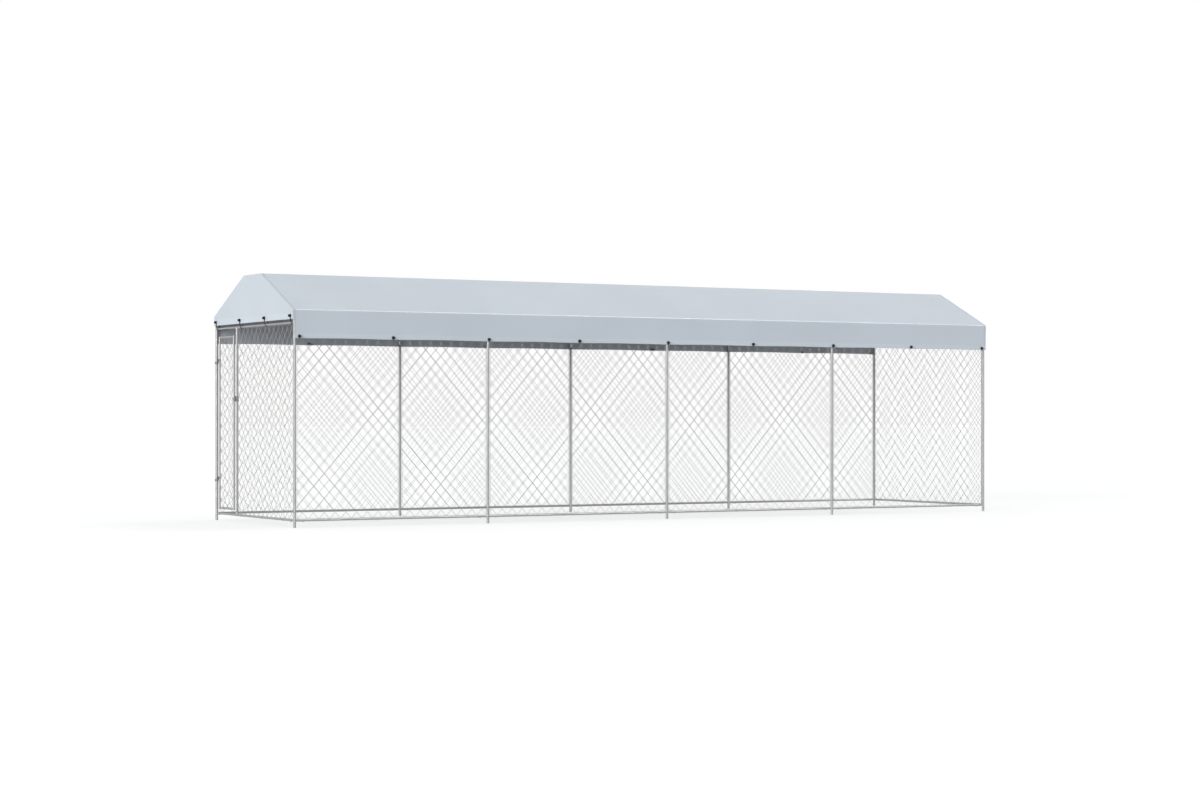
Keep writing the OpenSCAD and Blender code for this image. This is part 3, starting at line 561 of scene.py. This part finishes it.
frame_ties = []
for side, y in (("near", -post_y), ("far", post_y)):
    for bay in range(4):
        posts = Vector((post_x[bay], y)), Vector((post_x[bay + 1], y))
        frame_ties += net_edge_ties(f"{side}_net_{bay + 1}", posts, post_radius, firsts=(1.25, 0.75))
for node, x, last_y in (("door_end_net", post_x[0], door_post_y), ("back_end_net", post_x[-1], post_y)):
    posts = Vector((x, -post_y)), Vector((x, last_y))
    frame_ties += net_edge_ties(node, posts, post_radius, firsts=(1.5, 1.5))
stiles = Vector((post_x[0], latch_stile_y)), Vector((post_x[0], hinge_stile_y))
door_edge_ties = net_edge_ties("door_net", stiles, stile_radius, firsts=(1, 1))
for name, paths, body in (("post_ties", frame_ties, "frame"), ("stile_ties", door_edge_ties, "door")):
    tie_mesh = wire_mesh(paths, True, tie_radius, tie_sides, wire_zinc)
    ties = joined(name, [(tie_mesh, Matrix.Identity(4))], wire_zinc)
    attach(ties, body)


# The door hangs by two bolted straps on two bands round the corner post, and a bar on its latch
# stile drops into a keeper on the door post. They are bent and pressed from steel strip, and plated
# a dull grey.
grey_zinc = zinc_material(
    "grey_zinc", (0.20, 0.203, 0.207),
    crystal_scale=220.0, contrast=0.5, roughness=0.45, bump=0.1, metal=0.8,
)
finish_nodes(["hinge_bands", "hinge_bolts", "door_straps", "strap_bolts"], grey_zinc)
finish_nodes(["latch_keeper", "latch_bracket", "latch_bar"], grey_zinc)


# The roof cover is one sheet of coated woven cloth, pulled over the bows and down both sides, with
# a hem folded in and sewn along each valance and a welded seam where each gable joins it. The seam's
# band is coloured darker as painted shade along the crease where gable and slope meet; the hems'
# outer faces are coloured lighter, partly for the double layer and partly as a painted highlight;
# and the inside is coloured darker than the outside as painted shade.
def cover_material(name, colour, roughness):
    """Coated cloth: a fine weave in relief, and slow changes of shade where it was folded."""
    material, tree, shader = new_finish(name)
    shader.inputs["Roughness"].default_value = roughness
    shader.inputs["Specular IOR Level"].default_value = 0.4
    place = add_node(tree, "ShaderNodeTexCoord")
    slow = add_node(tree, "ShaderNodeTexNoise")
    slow.inputs["Scale"].default_value = 1.3
    slow.inputs["Detail"].default_value = 5.0
    shade = add_node(tree, "ShaderNodeMapRange")
    shade.inputs["From Min"].default_value = 0.3
    shade.inputs["From Max"].default_value = 0.7
    shade.inputs["To Min"].default_value = 0.97
    shade.inputs["To Max"].default_value = 1.03
    weave = add_node(tree, "ShaderNodeMath", operation="MAXIMUM")
    for k, direction in enumerate(("X", "Z")):
        threads = add_node(tree, "ShaderNodeTexWave", wave_type="BANDS", bands_direction=direction)
        threads.inputs["Scale"].default_value = 160.0
        tree.links.new(place.outputs["Object"], threads.inputs["Vector"])
        tree.links.new(threads.outputs["Fac"], weave.inputs[k])
    tree.links.new(place.outputs["Object"], slow.inputs["Vector"])
    tree.links.new(slow.outputs[0], shade.inputs["Value"])
    tint(tree, shader, colour, shade.outputs[0])
    emboss(tree, shader, weave.outputs[0], strength=0.12, distance=0.0006)
    return material


cover_materials = [
    cover_material("cover_outside", (0.59, 0.65, 0.712), roughness=0.3),
    # The hem cloth is lighter: partly for the hem's double layer, and partly a painted highlight along
    # the hems.
    cover_material("cover_hem_painted_highlight", (0.62, 0.68, 0.74), roughness=0.3),
    # The seam cloth is darker: a real welded seam, with painted shade along the crease where each gable
    # meets the slopes.
    cover_material("cover_seam_painted_shade", (0.53, 0.585, 0.645), roughness=0.45),
    # The inside cloth is darker than the outside: painted shade under the roof.
    cover_material("cover_inside_painted_shade", (0.52, 0.555, 0.60), roughness=0.6),
]
main_cloth, hem_painted_highlight_cloth, painted_shade_seam_cloth, inner_painted_shade_cloth = range(4)

sheet_low, sheet_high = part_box("roof_sheet")
gable_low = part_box("door_gable")[0]
back_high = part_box("back_gable")[1]
half_width = sheet_high.y
eave_height = 1.900
roof_height = sheet_high.z
half_top = 0.205
eave_round = 0.016
ridge_round = 0.050
cloth = 0.0009
fold = 0.0019
hem = 0.042
seam = 0.024
valance_inset = 0.013
slope_sag = 0.004
valance_ripple = 0.0012
valance_lift = 0.003
held_reach = 0.09
lift_reach = 0.45
tolerance = 0.0001
cover_steps = 370
layer_fields = 3
fold_steps = 4
hole_radius = 0.0085
hole_sides = 24
punch_depth = 0.02
valance_hole_rise = 0.018
gable_hole_rise = 0.031
bungee_x = (-3.751, -2.8545, -1.9015, -0.96075, 0.0, 0.96075, 1.9015, 2.8545, 3.751)
gable_bungee_y = (-0.8955, -0.2985, 0.2985, 0.8955)
valance_bungee_z = sheet_low.z + valance_hole_rise
gable_bungee_z = gable_low.z + gable_hole_rise


def rounded(before, corner, after, radius, steps):
    """Points of an arc that rounds a corner of the profile."""
    into = (before - corner).normalized()
    out = (after - corner).normalized()
    half = into.angle(out) / 2
    reach = radius / math.tan(half)
    centre = corner + (into + out).normalized() * radius / math.sin(half)
    first = corner + into * reach - centre
    last = corner + out * reach - centre
    turn = first.angle_signed(last)
    return [centre + Matrix.Rotation(-turn * k / steps, 2) @ first for k in range(steps + 1)]


def straight(first, last, count):
    return [first.lerp(last, k / count) for k in range(count)]


def folded_hem(face, inward, base):
    """A hem's section from the top of its inner layer down and round to the outer face."""
    inner = face + inward * fold
    centre = Vector((face + inward * fold / 2, base + fold / 2))
    points = straight(Vector((inner, base + hem)), Vector((inner, base + fold / 2)), layer_fields)
    for k in range(fold_steps + 1):
        angle = math.pi * k / fold_steps
        points.append(centre + fold / 2 * Vector((inward * math.cos(angle), -math.sin(angle))))
    return points


def half_profile():
    """The cover from the near valance's hem to the middle of the flat top, as Y and Z."""
    foot = Vector((-half_width, sheet_low.z + hem))
    cut = Vector((-half_width, gable_low.z))
    eave = Vector((-half_width, eave_height))
    kink = Vector((-half_top, roof_height))
    middle = Vector((0.0, roof_height))
    eave_arc = rounded(foot, eave, kink, eave_round, steps=6)
    kink_arc = rounded(eave, kink, middle, ridge_round, steps=5)
    lower = folded_hem(-half_width, 1, sheet_low.z)
    points = lower[:-1] + straight(lower[-1], foot, count=3) + straight(foot, cut, count=6)
    points += straight(cut, eave_arc[0], count=3) + eave_arc[:-1]
    points += straight(eave_arc[-1], kink_arc[0], count=16) + kink_arc[:-1]
    return points + straight(kink_arc[-1], middle, count=4) + [middle]


near_half = half_profile()
profile = near_half + [Vector((-p.x, p.y)) for p in reversed(near_half[:-1])]


def bay_share(x):
    """How far x lies from the two bows beside it: 0 at a bow and 1 in the middle of a bay."""
    for first, last in zip(post_x, post_x[1:]):
        if first <= x <= last:
            return math.sin(math.pi * (x - first) / (last - first))
    return 0.0


def hang(x, point):
    """A point of the hung cover: the slopes sag between the bows, and the valances ripple."""
    y, z = point
    if z > eave_height:
        share = (abs(y) - half_top) / (half_width - half_top)
        sag = slope_sag * bay_share(x) * math.sin(math.pi * min(max(share, 0.0), 1.0))
        return Vector((x, y, z - sag))
    depth = min((eave_height - z) / (eave_height - sheet_low.z), 1.0) ** 2
    away = min(abs(x - b) for b in bungee_x)
    free = 1.0 - math.exp(-((away / held_reach) ** 2))
    ripple = 0.6 * math.sin(19.0 * x + 0.7) + 0.4 * math.sin(31.0 * x + 2.0)
    lift = math.sin(math.pi * min(away, lift_reach) / (2 * lift_reach)) ** 2
    out = math.copysign(valance_ripple * depth * free * ripple, y)
    return Vector((x, y + out, z + valance_lift * depth * lift))


def hole_punch(holes):
    """A round punch through the cloth at each eyelet."""
    shape = bmesh.new()
    for centre, axis in holes:
        place = Matrix.Translation(centre) @ axis.to_track_quat("Z", "Y").to_matrix().to_4x4()
        bmesh.ops.create_cone(
            shape, cap_ends=True, segments=hole_sides, radius1=hole_radius, radius2=hole_radius,
            depth=punch_depth, matrix=place,
        )
    mesh = bpy.data.meshes.new("punch")
    shape.to_mesh(mesh)
    shape.free()
    punch = bpy.data.objects.new("punch", mesh)
    put_in_scene(punch)
    return punch


def sheet_piece(name, grid, tags, left_out, outward, holes):
    """A sheet from rows of points, thickened inwards, with holes for the eyelets punched in it."""
    shape = bmesh.new()
    verts = [[shape.verts.new(point) for point in row] for row in grid]
    for r, (first, second) in enumerate(zip(verts, verts[1:])):
        for k in range(len(first) - 1):
            if left_out(r, k):
                continue
            face = shape.faces.new((first[k], first[k + 1], second[k + 1], second[k]))
            face.material_index = tags(r, k)
            face.smooth = True
    loose = [v for v in shape.verts if not v.link_faces]
    bmesh.ops.delete(shape, geom=loose, context="VERTS")
    bmesh.ops.recalc_face_normals(shape, faces=shape.faces)
    largest = max(shape.faces, key=lambda face: face.calc_area())
    if largest.normal.dot(outward) < 0:
        bmesh.ops.reverse_faces(shape, faces=shape.faces)
    mesh = bpy.data.meshes.new(name)
    shape.to_mesh(mesh)
    shape.free()
    for material in cover_materials:
        mesh.materials.append(material)
    piece = bpy.data.objects.new(name, mesh)
    put_in_scene(piece)
    punch = hole_punch(holes)
    thickness = piece.modifiers.new("thickness", "SOLIDIFY")
    thickness.thickness = cloth
    thickness.offset = -1.0
    # The inner face takes the inside cloth, darker than the outside as painted shade.
    thickness.material_offset = inner_painted_shade_cloth
    punched = piece.modifiers.new("eyelet_holes", "BOOLEAN")
    punched.operation = "DIFFERENCE"
    punched.object = punch
    solid = plain_mesh(piece)
    piece.modifiers.clear()
    piece.data = solid
    solid.set_sharp_from_angle(angle=math.radians(40))
    bpy.data.objects.remove(punch)
    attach(piece, "frame")
    return piece


def cover_tag(row, k):
    """The kind of cloth in one field of the cover."""
    middle = (profile[k] + profile[k + 1]) / 2
    # The hems' outer faces take the lighter hem cloth, partly a painted highlight; their inner layers
    # take the inside cloth, darker as painted shade.
    if middle.y < sheet_low.z + hem:
        return hem_painted_highlight_cloth if abs(middle.x) > half_width - fold / 4 else inner_painted_shade_cloth
    # The bands along both ends take the seam cloth, coloured darker as painted shade.
    if cover_x[row] < sheet_low.x + seam - tolerance or row == len(cover_x) - 2:
        return painted_shade_seam_cloth
    return main_cloth


def cover_left_out(row, k):
    """At the door end the valances start short of the gable."""
    return row == 0 and max(profile[k].y, profile[k + 1].y) < gable_low.z + tolerance


cover_x = [sheet_low.x, sheet_low.x + valance_inset]
cover_field = (sheet_high.x - sheet_low.x - 2 * seam) / cover_steps
for k in range(cover_steps + 1):
    cover_x.append(sheet_low.x + seam + k * cover_field)
cover_x.append(sheet_high.x)

valance_holes = []
for side in (-1, 1):
    for x in bungee_x:
        valance_holes.append((Vector((x, side * half_width, valance_bungee_z)), Vector((0, side, 0))))

cover_grid = [[hang(x, point) for point in profile] for x in cover_x]
cover = sheet_piece("roof_cover", cover_grid, cover_tag, cover_left_out, Vector((0, 0, 1)), valance_holes)
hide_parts("roof_sheet")


# The gables are flat pieces of the same cloth, one at each end, joined to the cover along their
# sloping edges, with a hem of their own along the lower edge.
gable_hem = 0.056
hem_fields = 3
gable_fields = 8


def gable_panel(name, node, face, outward):
    """A gable in columns that follow the cover's profile."""
    low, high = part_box(node)
    columns = []
    for point in profile:
        if point.y > low.z and (not columns or point.x > columns[-1].x + tolerance):
            columns.append(point)
    columns[0] = max((p for p in profile if p.x < columns[1].x - tolerance), key=lambda p: p.y)
    hem_rows = folded_hem(face, -outward, low.z)
    fold_rows = len(hem_rows) - 1
    first = Vector((face, low.z + gable_hem))
    lower_rows = hem_rows[:-1] + straight(hem_rows[-1], first, hem_fields)
    grid = []
    for column in columns:
        top = Vector((face, column.y))
        rows = lower_rows + straight(first, top, gable_fields) + [top]
        grid.append([(p.x, column.x, p.y) for p in rows])

    def tag(row, k):
        # The hem's inner layer takes the inside cloth, darker as painted shade; its outer face takes the
        # lighter hem cloth, partly a painted highlight.
        if k < fold_rows:
            return inner_painted_shade_cloth
        return hem_painted_highlight_cloth if k < fold_rows + hem_fields else main_cloth

    holes = [(Vector((face, y, gable_bungee_z)), Vector((outward, 0, 0))) for y in gable_bungee_y]
    piece = sheet_piece(name, grid, tag, lambda row, k: False, Vector((outward, 0, 0)), holes)
    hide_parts(node)


gable_panel("door_gable_panel", "door_gable", gable_low.x, -1)
gable_panel("back_gable_panel", "back_gable", back_high.x, 1)


# The hems of the valances and the gables are sewn with one row of pale polyester thread. Each
# stitch is a short arch that stands just off the cloth and follows the way it hangs.
thread_radius = 0.0004
thread_sides = 4
stitch_pitch = 0.009
stitch_arch = ((-0.003, 0.0), (0.0, 0.0004), (0.003, 0.0))
stitch_inset = 0.005
valance_ends = 0.008, 0.010
gable_ends = 0.013, 0.007


def hem_stitch_paths():
    paths = []
    row_z = sheet_low.z + hem - stitch_inset
    first_x = sheet_low.x + valance_inset + valance_ends[0]
    for side in (-1, 1):
        for k in range(int((sheet_high.x - valance_ends[1] - first_x) / stitch_pitch)):
            path = []
            for along, out in stitch_arch:
                point = hang(first_x + k * stitch_pitch + along, Vector((side * half_width, row_z)))
                path.append((point.x, point.y + side * out, point.z))
            paths.append(path)
    row_z = gable_low.z + gable_hem - stitch_inset
    for face, outward in ((gable_low.x, -1), (back_high.x, 1)):
        for k in range(int((2 * half_width - sum(gable_ends)) / stitch_pitch)):
            y = -half_width + gable_ends[0] + k * stitch_pitch
            paths.append([(face + outward * out, y + along, row_z) for along, out in stitch_arch])
    return paths


def thread_material():
    """Twisted polyester thread: pale, with fine lighter and darker plies."""
    material, tree, shader = new_finish("hem_thread")
    shader.inputs["Roughness"].default_value = 0.6
    place = add_node(tree, "ShaderNodeTexCoord")
    plies = add_node(tree, "ShaderNodeTexWave", wave_type="BANDS", bands_direction="DIAGONAL")
    plies.inputs["Scale"].default_value = 500.0
    shades = add_node(tree, "ShaderNodeMix", data_type="RGBA")
    shades.inputs[6].default_value = (0.62, 0.66, 0.70, 1.0)
    shades.inputs[7].default_value = (0.74, 0.77, 0.80, 1.0)
    tree.links.new(place.outputs["Object"], plies.inputs["Vector"])
    tree.links.new(plies.outputs["Fac"], shades.inputs[0])
    tree.links.new(shades.outputs[2], shader.inputs["Base Color"])
    return material


thread = thread_material()
stitch_mesh = wire_mesh(hem_stitch_paths(), False, thread_radius, thread_sides, thread)
stitches = joined("hem_stitches", [(stitch_mesh, Matrix.Identity(4))], thread)
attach(stitches, "frame")


# Each eyelet is a pressed zinc ring, closed on both faces of a hem, that keeps the elastic of a
# bungee from tearing the cloth.
finish_nodes(["eyelets"], galvanised)


# The bungees' balls are black moulded plastic. Each sits outside its eyelet with its wide mouth
# towards the cloth, and a fine ridge runs round it where the mould parts.
def black_material(name, colour, roughness, grain_scale, grain_relief):
    """Black plastic or braid with a fine grain."""
    material, tree, shader = new_finish(name)
    shader.inputs["Roughness"].default_value = roughness
    shader.inputs["Specular IOR Level"].default_value = 0.2
    place = add_node(tree, "ShaderNodeTexCoord")
    grain = add_node(tree, "ShaderNodeTexNoise")
    grain.inputs["Scale"].default_value = grain_scale
    grain.inputs["Detail"].default_value = 4.0
    ramp = add_node(tree, "ShaderNodeMapRange")
    ramp.inputs["To Min"].default_value = 0.7
    ramp.inputs["To Max"].default_value = 1.3
    tree.links.new(place.outputs["Object"], grain.inputs["Vector"])
    tree.links.new(grain.outputs[0], ramp.inputs["Value"])
    tint(tree, shader, colour, ramp.outputs[0])
    emboss(tree, shader, grain.outputs[0], strength=grain_relief, distance=0.0005)
    return material


ball_plastic = black_material(
    "ball_plastic", (0.010, 0.010, 0.012), roughness=0.4, grain_scale=300.0, grain_relief=0.1
)
ball_radius = 0.013
ball_out = 0.01125
ball_segments = 18
mouth_radius = 0.0052
tip_radius = 0.0032
parting_ridge = 0.0003
outline_steps = 12
bore_ends = ((0.0026, ball_radius - 0.0012), (0.0050, -ball_radius + 0.003))


def ball_outline():
    """The ball's section: a wide mouth inside, a small one outside, a parting ridge and the bore."""
    outline = []
    wide, narrow = math.asin(mouth_radius / ball_radius), math.asin(tip_radius / ball_radius)
    for k in range(outline_steps + 1):
        angle = wide + (math.pi - wide - narrow) * k / outline_steps
        radius = ball_radius + (parting_ridge if k == outline_steps // 2 else 0.0)
        outline.append((radius * math.sin(angle), -radius * math.cos(angle)))
    return [*outline, *bore_ends]


def lathed(name, outline, segments):
    """A closed ring of the outline round the Z axis."""
    shape = bmesh.new()
    rings = []
    for k in range(segments):
        turn = Matrix.Rotation(2 * math.pi * k / segments, 3, "Z")
        rings.append([shape.verts.new(turn @ Vector((r, 0.0, z))) for r, z in outline])
    for first, second in zip(rings, rings[1:] + rings[:1]):
        for k in range(len(outline)):
            after = (k + 1) % len(outline)
            shape.faces.new((first[k], second[k], second[after], first[after]))
    bmesh.ops.recalc_face_normals(shape, faces=shape.faces)
    mesh = bpy.data.meshes.new(name)
    shape.to_mesh(mesh)
    shape.free()
    for face in mesh.polygons:
        face.use_smooth = True
    return mesh


def set_on_points_tree():
    """A shape set on every point of the object's mesh, turned as the point's attribute says."""
    tree = bpy.data.node_groups.new("set_on_points", "GeometryNodeTree")
    face = tree.interface
    face.new_socket("Geometry", in_out="INPUT", socket_type="NodeSocketGeometry")
    face.new_socket("Shape", in_out="INPUT", socket_type="NodeSocketObject")
    face.new_socket("Material", in_out="INPUT", socket_type="NodeSocketMaterial")
    face.new_socket("Geometry", in_out="OUTPUT", socket_type="NodeSocketGeometry")
    given = add_node(tree, "NodeGroupInput")
    made = add_node(tree, "NodeGroupOutput")
    shape = add_node(tree, "GeometryNodeObjectInfo")
    turn = add_node(tree, "GeometryNodeInputNamedAttribute", data_type="FLOAT_VECTOR")
    turn.inputs["Name"].default_value = "turn"
    copies = add_node(tree, "GeometryNodeInstanceOnPoints")
    real = add_node(tree, "GeometryNodeRealizeInstances")
    coat = add_node(tree, "GeometryNodeSetMaterial")
    link = tree.links.new
    link(given.outputs["Geometry"], copies.inputs["Points"])
    link(given.outputs["Shape"], shape.inputs["Object"])
    link(shape.outputs["Geometry"], copies.inputs["Instance"])
    link(turn.outputs["Attribute"], copies.inputs["Rotation"])
    link(copies.outputs["Instances"], real.inputs["Geometry"])
    link(real.outputs["Geometry"], coat.inputs["Geometry"])
    link(given.outputs["Material"], coat.inputs["Material"])
    link(coat.outputs["Geometry"], made.inputs["Geometry"])
    return tree


def on_points(places, shape_mesh, material):
    """A plain mesh of copies of the shape, one at each place and facing its direction."""
    tree = set_on_points_tree()
    points = bpy.data.meshes.new("points")
    points.from_pydata([place for place, facing in places], [], [])
    turns = points.attributes.new("turn", "FLOAT_VECTOR", "POINT")
    for item, (place, facing) in zip(turns.data, places):
        item.vector = facing.to_track_quat("Z", "Y").to_euler()
    shape = bpy.data.objects.new("shape", shape_mesh)
    holder = bpy.data.objects.new("points", points)
    put_in_scene(holder)
    modifier = holder.modifiers.new("copies", "NODES")
    modifier.node_group = tree
    modifier[socket_id(tree, "Shape")] = shape
    modifier[socket_id(tree, "Material")] = material
    mesh = plain_mesh(holder)
    bpy.data.objects.remove(holder)
    bpy.data.objects.remove(shape)
    return mesh


ball_places = []
for side, face_x in ((-1, gable_low.x), (1, back_high.x)):
    for x in bungee_x:
        place = Vector((x, side * (half_width + ball_out), valance_bungee_z))
        ball_places.append((place, Vector((0, side, 0))))
    for y in gable_bungee_y:
        place = Vector((face_x + side * ball_out, y, gable_bungee_z))
        ball_places.append((place, Vector((side, 0, 0))))
ball_mesh = on_points(ball_places, lathed("ball", ball_outline(), ball_segments), ball_plastic)
balls = joined("moulded_balls", [(ball_mesh, Matrix.Identity(4))], ball_plastic)
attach(balls, "frame")
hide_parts("bungee_balls")


# A loop of braid-covered elastic starts inside each ball. It goes through the eyelet, round a post,
# a wire of the net or the rail over an end net, and comes back outside the hem, where its end is
# hooked over the ball.
elastic_cover = black_material(
    "elastic_cover", (0.014, 0.014, 0.016), roughness=0.75, grain_scale=900.0, grain_relief=0.5
)
elastic_radius = 0.002
elastic_sides = 8
strand = 0.0023
post_clear = 0.0003
wire_clear = 0.0004
hem_clear = 0.0005
post_hold = post_radius + elastic_radius + post_clear
wire_hold = wire_radius + elastic_radius + wire_clear
rail_hold = 0.01375
rail_hold_z = 1.78535
neck_radius = 0.0129
neck_out = 0.003
wrap_steps = 10
hem_steps = 5
rail_steps = 12
neck_steps = 12
hem_round = fold / 2 + elastic_radius + hem_clear
hem_foot = valance_bungee_z - sheet_low.z - fold / 2


def arc(radius, start, sweep, count):
    """Points of an arc round the origin."""
    angles = [start + sweep * k / count for k in range(count + 1)]
    return [radius * Vector((math.cos(angle), math.sin(angle))) for angle in angles]


def softened(points):
    """A closed path whose corners are cut twice, as a thick cord bends."""
    for turn in range(2):
        cut = []
        for first, second in zip(points, points[1:] + points[:1]):
            cut.append(first.lerp(second, 0.25))
            cut.append(first.lerp(second, 0.75))
        points = cut
    return points


def hooked_elastic(route, drop):
    """Two strands side by side from inside a ball along the route, with the end hooked over the ball.

    The route's points give how far out, along and up they lie from the middle of the eyelet.
    """
    foot = Vector((strand, -drop))
    first = math.atan2(foot.y, foot.x) + math.acos(neck_radius / foot.length)
    neck = arc(neck_radius, first, math.pi - 2 * first, neck_steps)
    hooked_end = [Vector((neck_out, *point)) for point in neck]
    going = [point + spread for point, spread in route]
    coming = [point - spread for point, spread in reversed(route)]
    return softened(going + hooked_end + coming)


def held_wire(x, bend_along):
    """The net's wire nearest to x where the elastics go round it: its place along X and its slant."""
    climb = (valance_bungee_z - hem_foot / 2 - side_bend_z) / bend_rise
    nearest = math.floor((x - bend_along) / picket_pitch)
    wires = []
    for picket in range(nearest - 1, nearest + 2):
        share, depth = picket_place(picket, climb)
        slant = math.copysign(picket_pitch / bend_rise, -depth)
        wires.append((bend_along + (picket + share) * picket_pitch, slant))
    return min(wires, key=lambda wire: abs(wire[0] - x))


def valance_elastic(x, side, held, radius, slant):
    """Through the eyelet, round a post or a wire that stands at held, and back under the hem."""
    inset = half_width - post_y
    entry = Vector((post_hold, x - held))
    leaving = Vector((inset - fold / 2 - hem_round, x - held))
    start = math.atan2(entry.y, entry.x) + math.acos(min(1.0, radius / entry.length))
    stop = math.atan2(leaving.y, leaving.x) - math.acos(radius / leaving.length) + 2 * math.pi
    wrap = arc(radius, start, stop - start, wrap_steps)
    lengths = [(b - a).length for a, b in zip([entry, *wrap], [*wrap, leaving])]
    route = []
    for out in (ball_out, post_hold - inset):
        route.append((Vector((out, 0.0, 0.0)), Vector((0.0, 0.0, strand))))
    for k, point in enumerate(wrap):
        up = -hem_foot * sum(lengths[:k + 1]) / sum(lengths)
        along = held - x + point.y * math.hypot(1.0, slant) + slant * (up + hem_foot / 2)
        route.append((Vector((point.x - inset, along, up)), Vector((0.0, slant * strand, strand))))
    for point in arc(hem_round, math.pi, math.pi, hem_steps):
        under_hem = Vector((point.x - fold / 2, 0.0, point.y - hem_foot))
        route.append((under_hem, Vector((0.0, strand, 0.0))))
    path = hooked_elastic(route, hem_foot)
    return [(x + p.y, side * (half_width + p.x), valance_bungee_z + p.z) for p in path]


def gable_elastic(y, side):
    """Through the eyelet, down inside the cloth, round the end rail and up outside the hem."""
    inset = abs(gable_low.x) - post_x[-1]
    rise = gable_bungee_z - rail_hold_z
    inner = Vector((0.0, rise))
    foot = Vector((inset + neck_out, gable_low.z - rail_hold_z))
    start = math.atan2(inner.y, inner.x) + math.acos(rail_hold / inner.length)
    stop = math.atan2(foot.y, foot.x) - math.acos(rail_hold / foot.length) + 2 * math.pi
    wrap = arc(rail_hold, start, stop - start, rail_steps)
    flat = [Vector((inset + ball_out, rise)), inner, *wrap, foot]
    route = [(Vector((p.x - inset, 0.0, p.y - rise)), Vector((0.0, strand, 0.0))) for p in flat]
    path = hooked_elastic(route, gable_bungee_z - gable_low.z)
    return [(side * (post_x[-1] + inset + p.x), y + p.y, gable_bungee_z + p.z) for p in path]


loops = []
for side, name in ((-1, "near"), (1, "far")):
    for k, x in enumerate(bungee_x):
        bay = min(k // 2 + 1, 4)
        net_low, net_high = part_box(f"{name}_net_{bay}")
        held, slant, hold = x, 0.0, wire_hold
        if k == 0:
            held = net_low.x + wire_radius
        elif k == len(bungee_x) - 1:
            held = net_high.x - wire_radius
        elif k % 2 == 0:
            hold = post_hold
        else:
            held, slant = held_wire(x, bend_x[name])
        loops.append(valance_elastic(x, side, held, hold, slant))
    for y in gable_bungee_y:
        loops.append(gable_elastic(y, side))
elastic = wire_mesh(loops, True, elastic_radius, elastic_sides, elastic_cover)
elastics = joined("elastic_loops", [(elastic, Matrix.Identity(4))], elastic_cover)
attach(elastics, "frame")
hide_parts("bungee_loops")
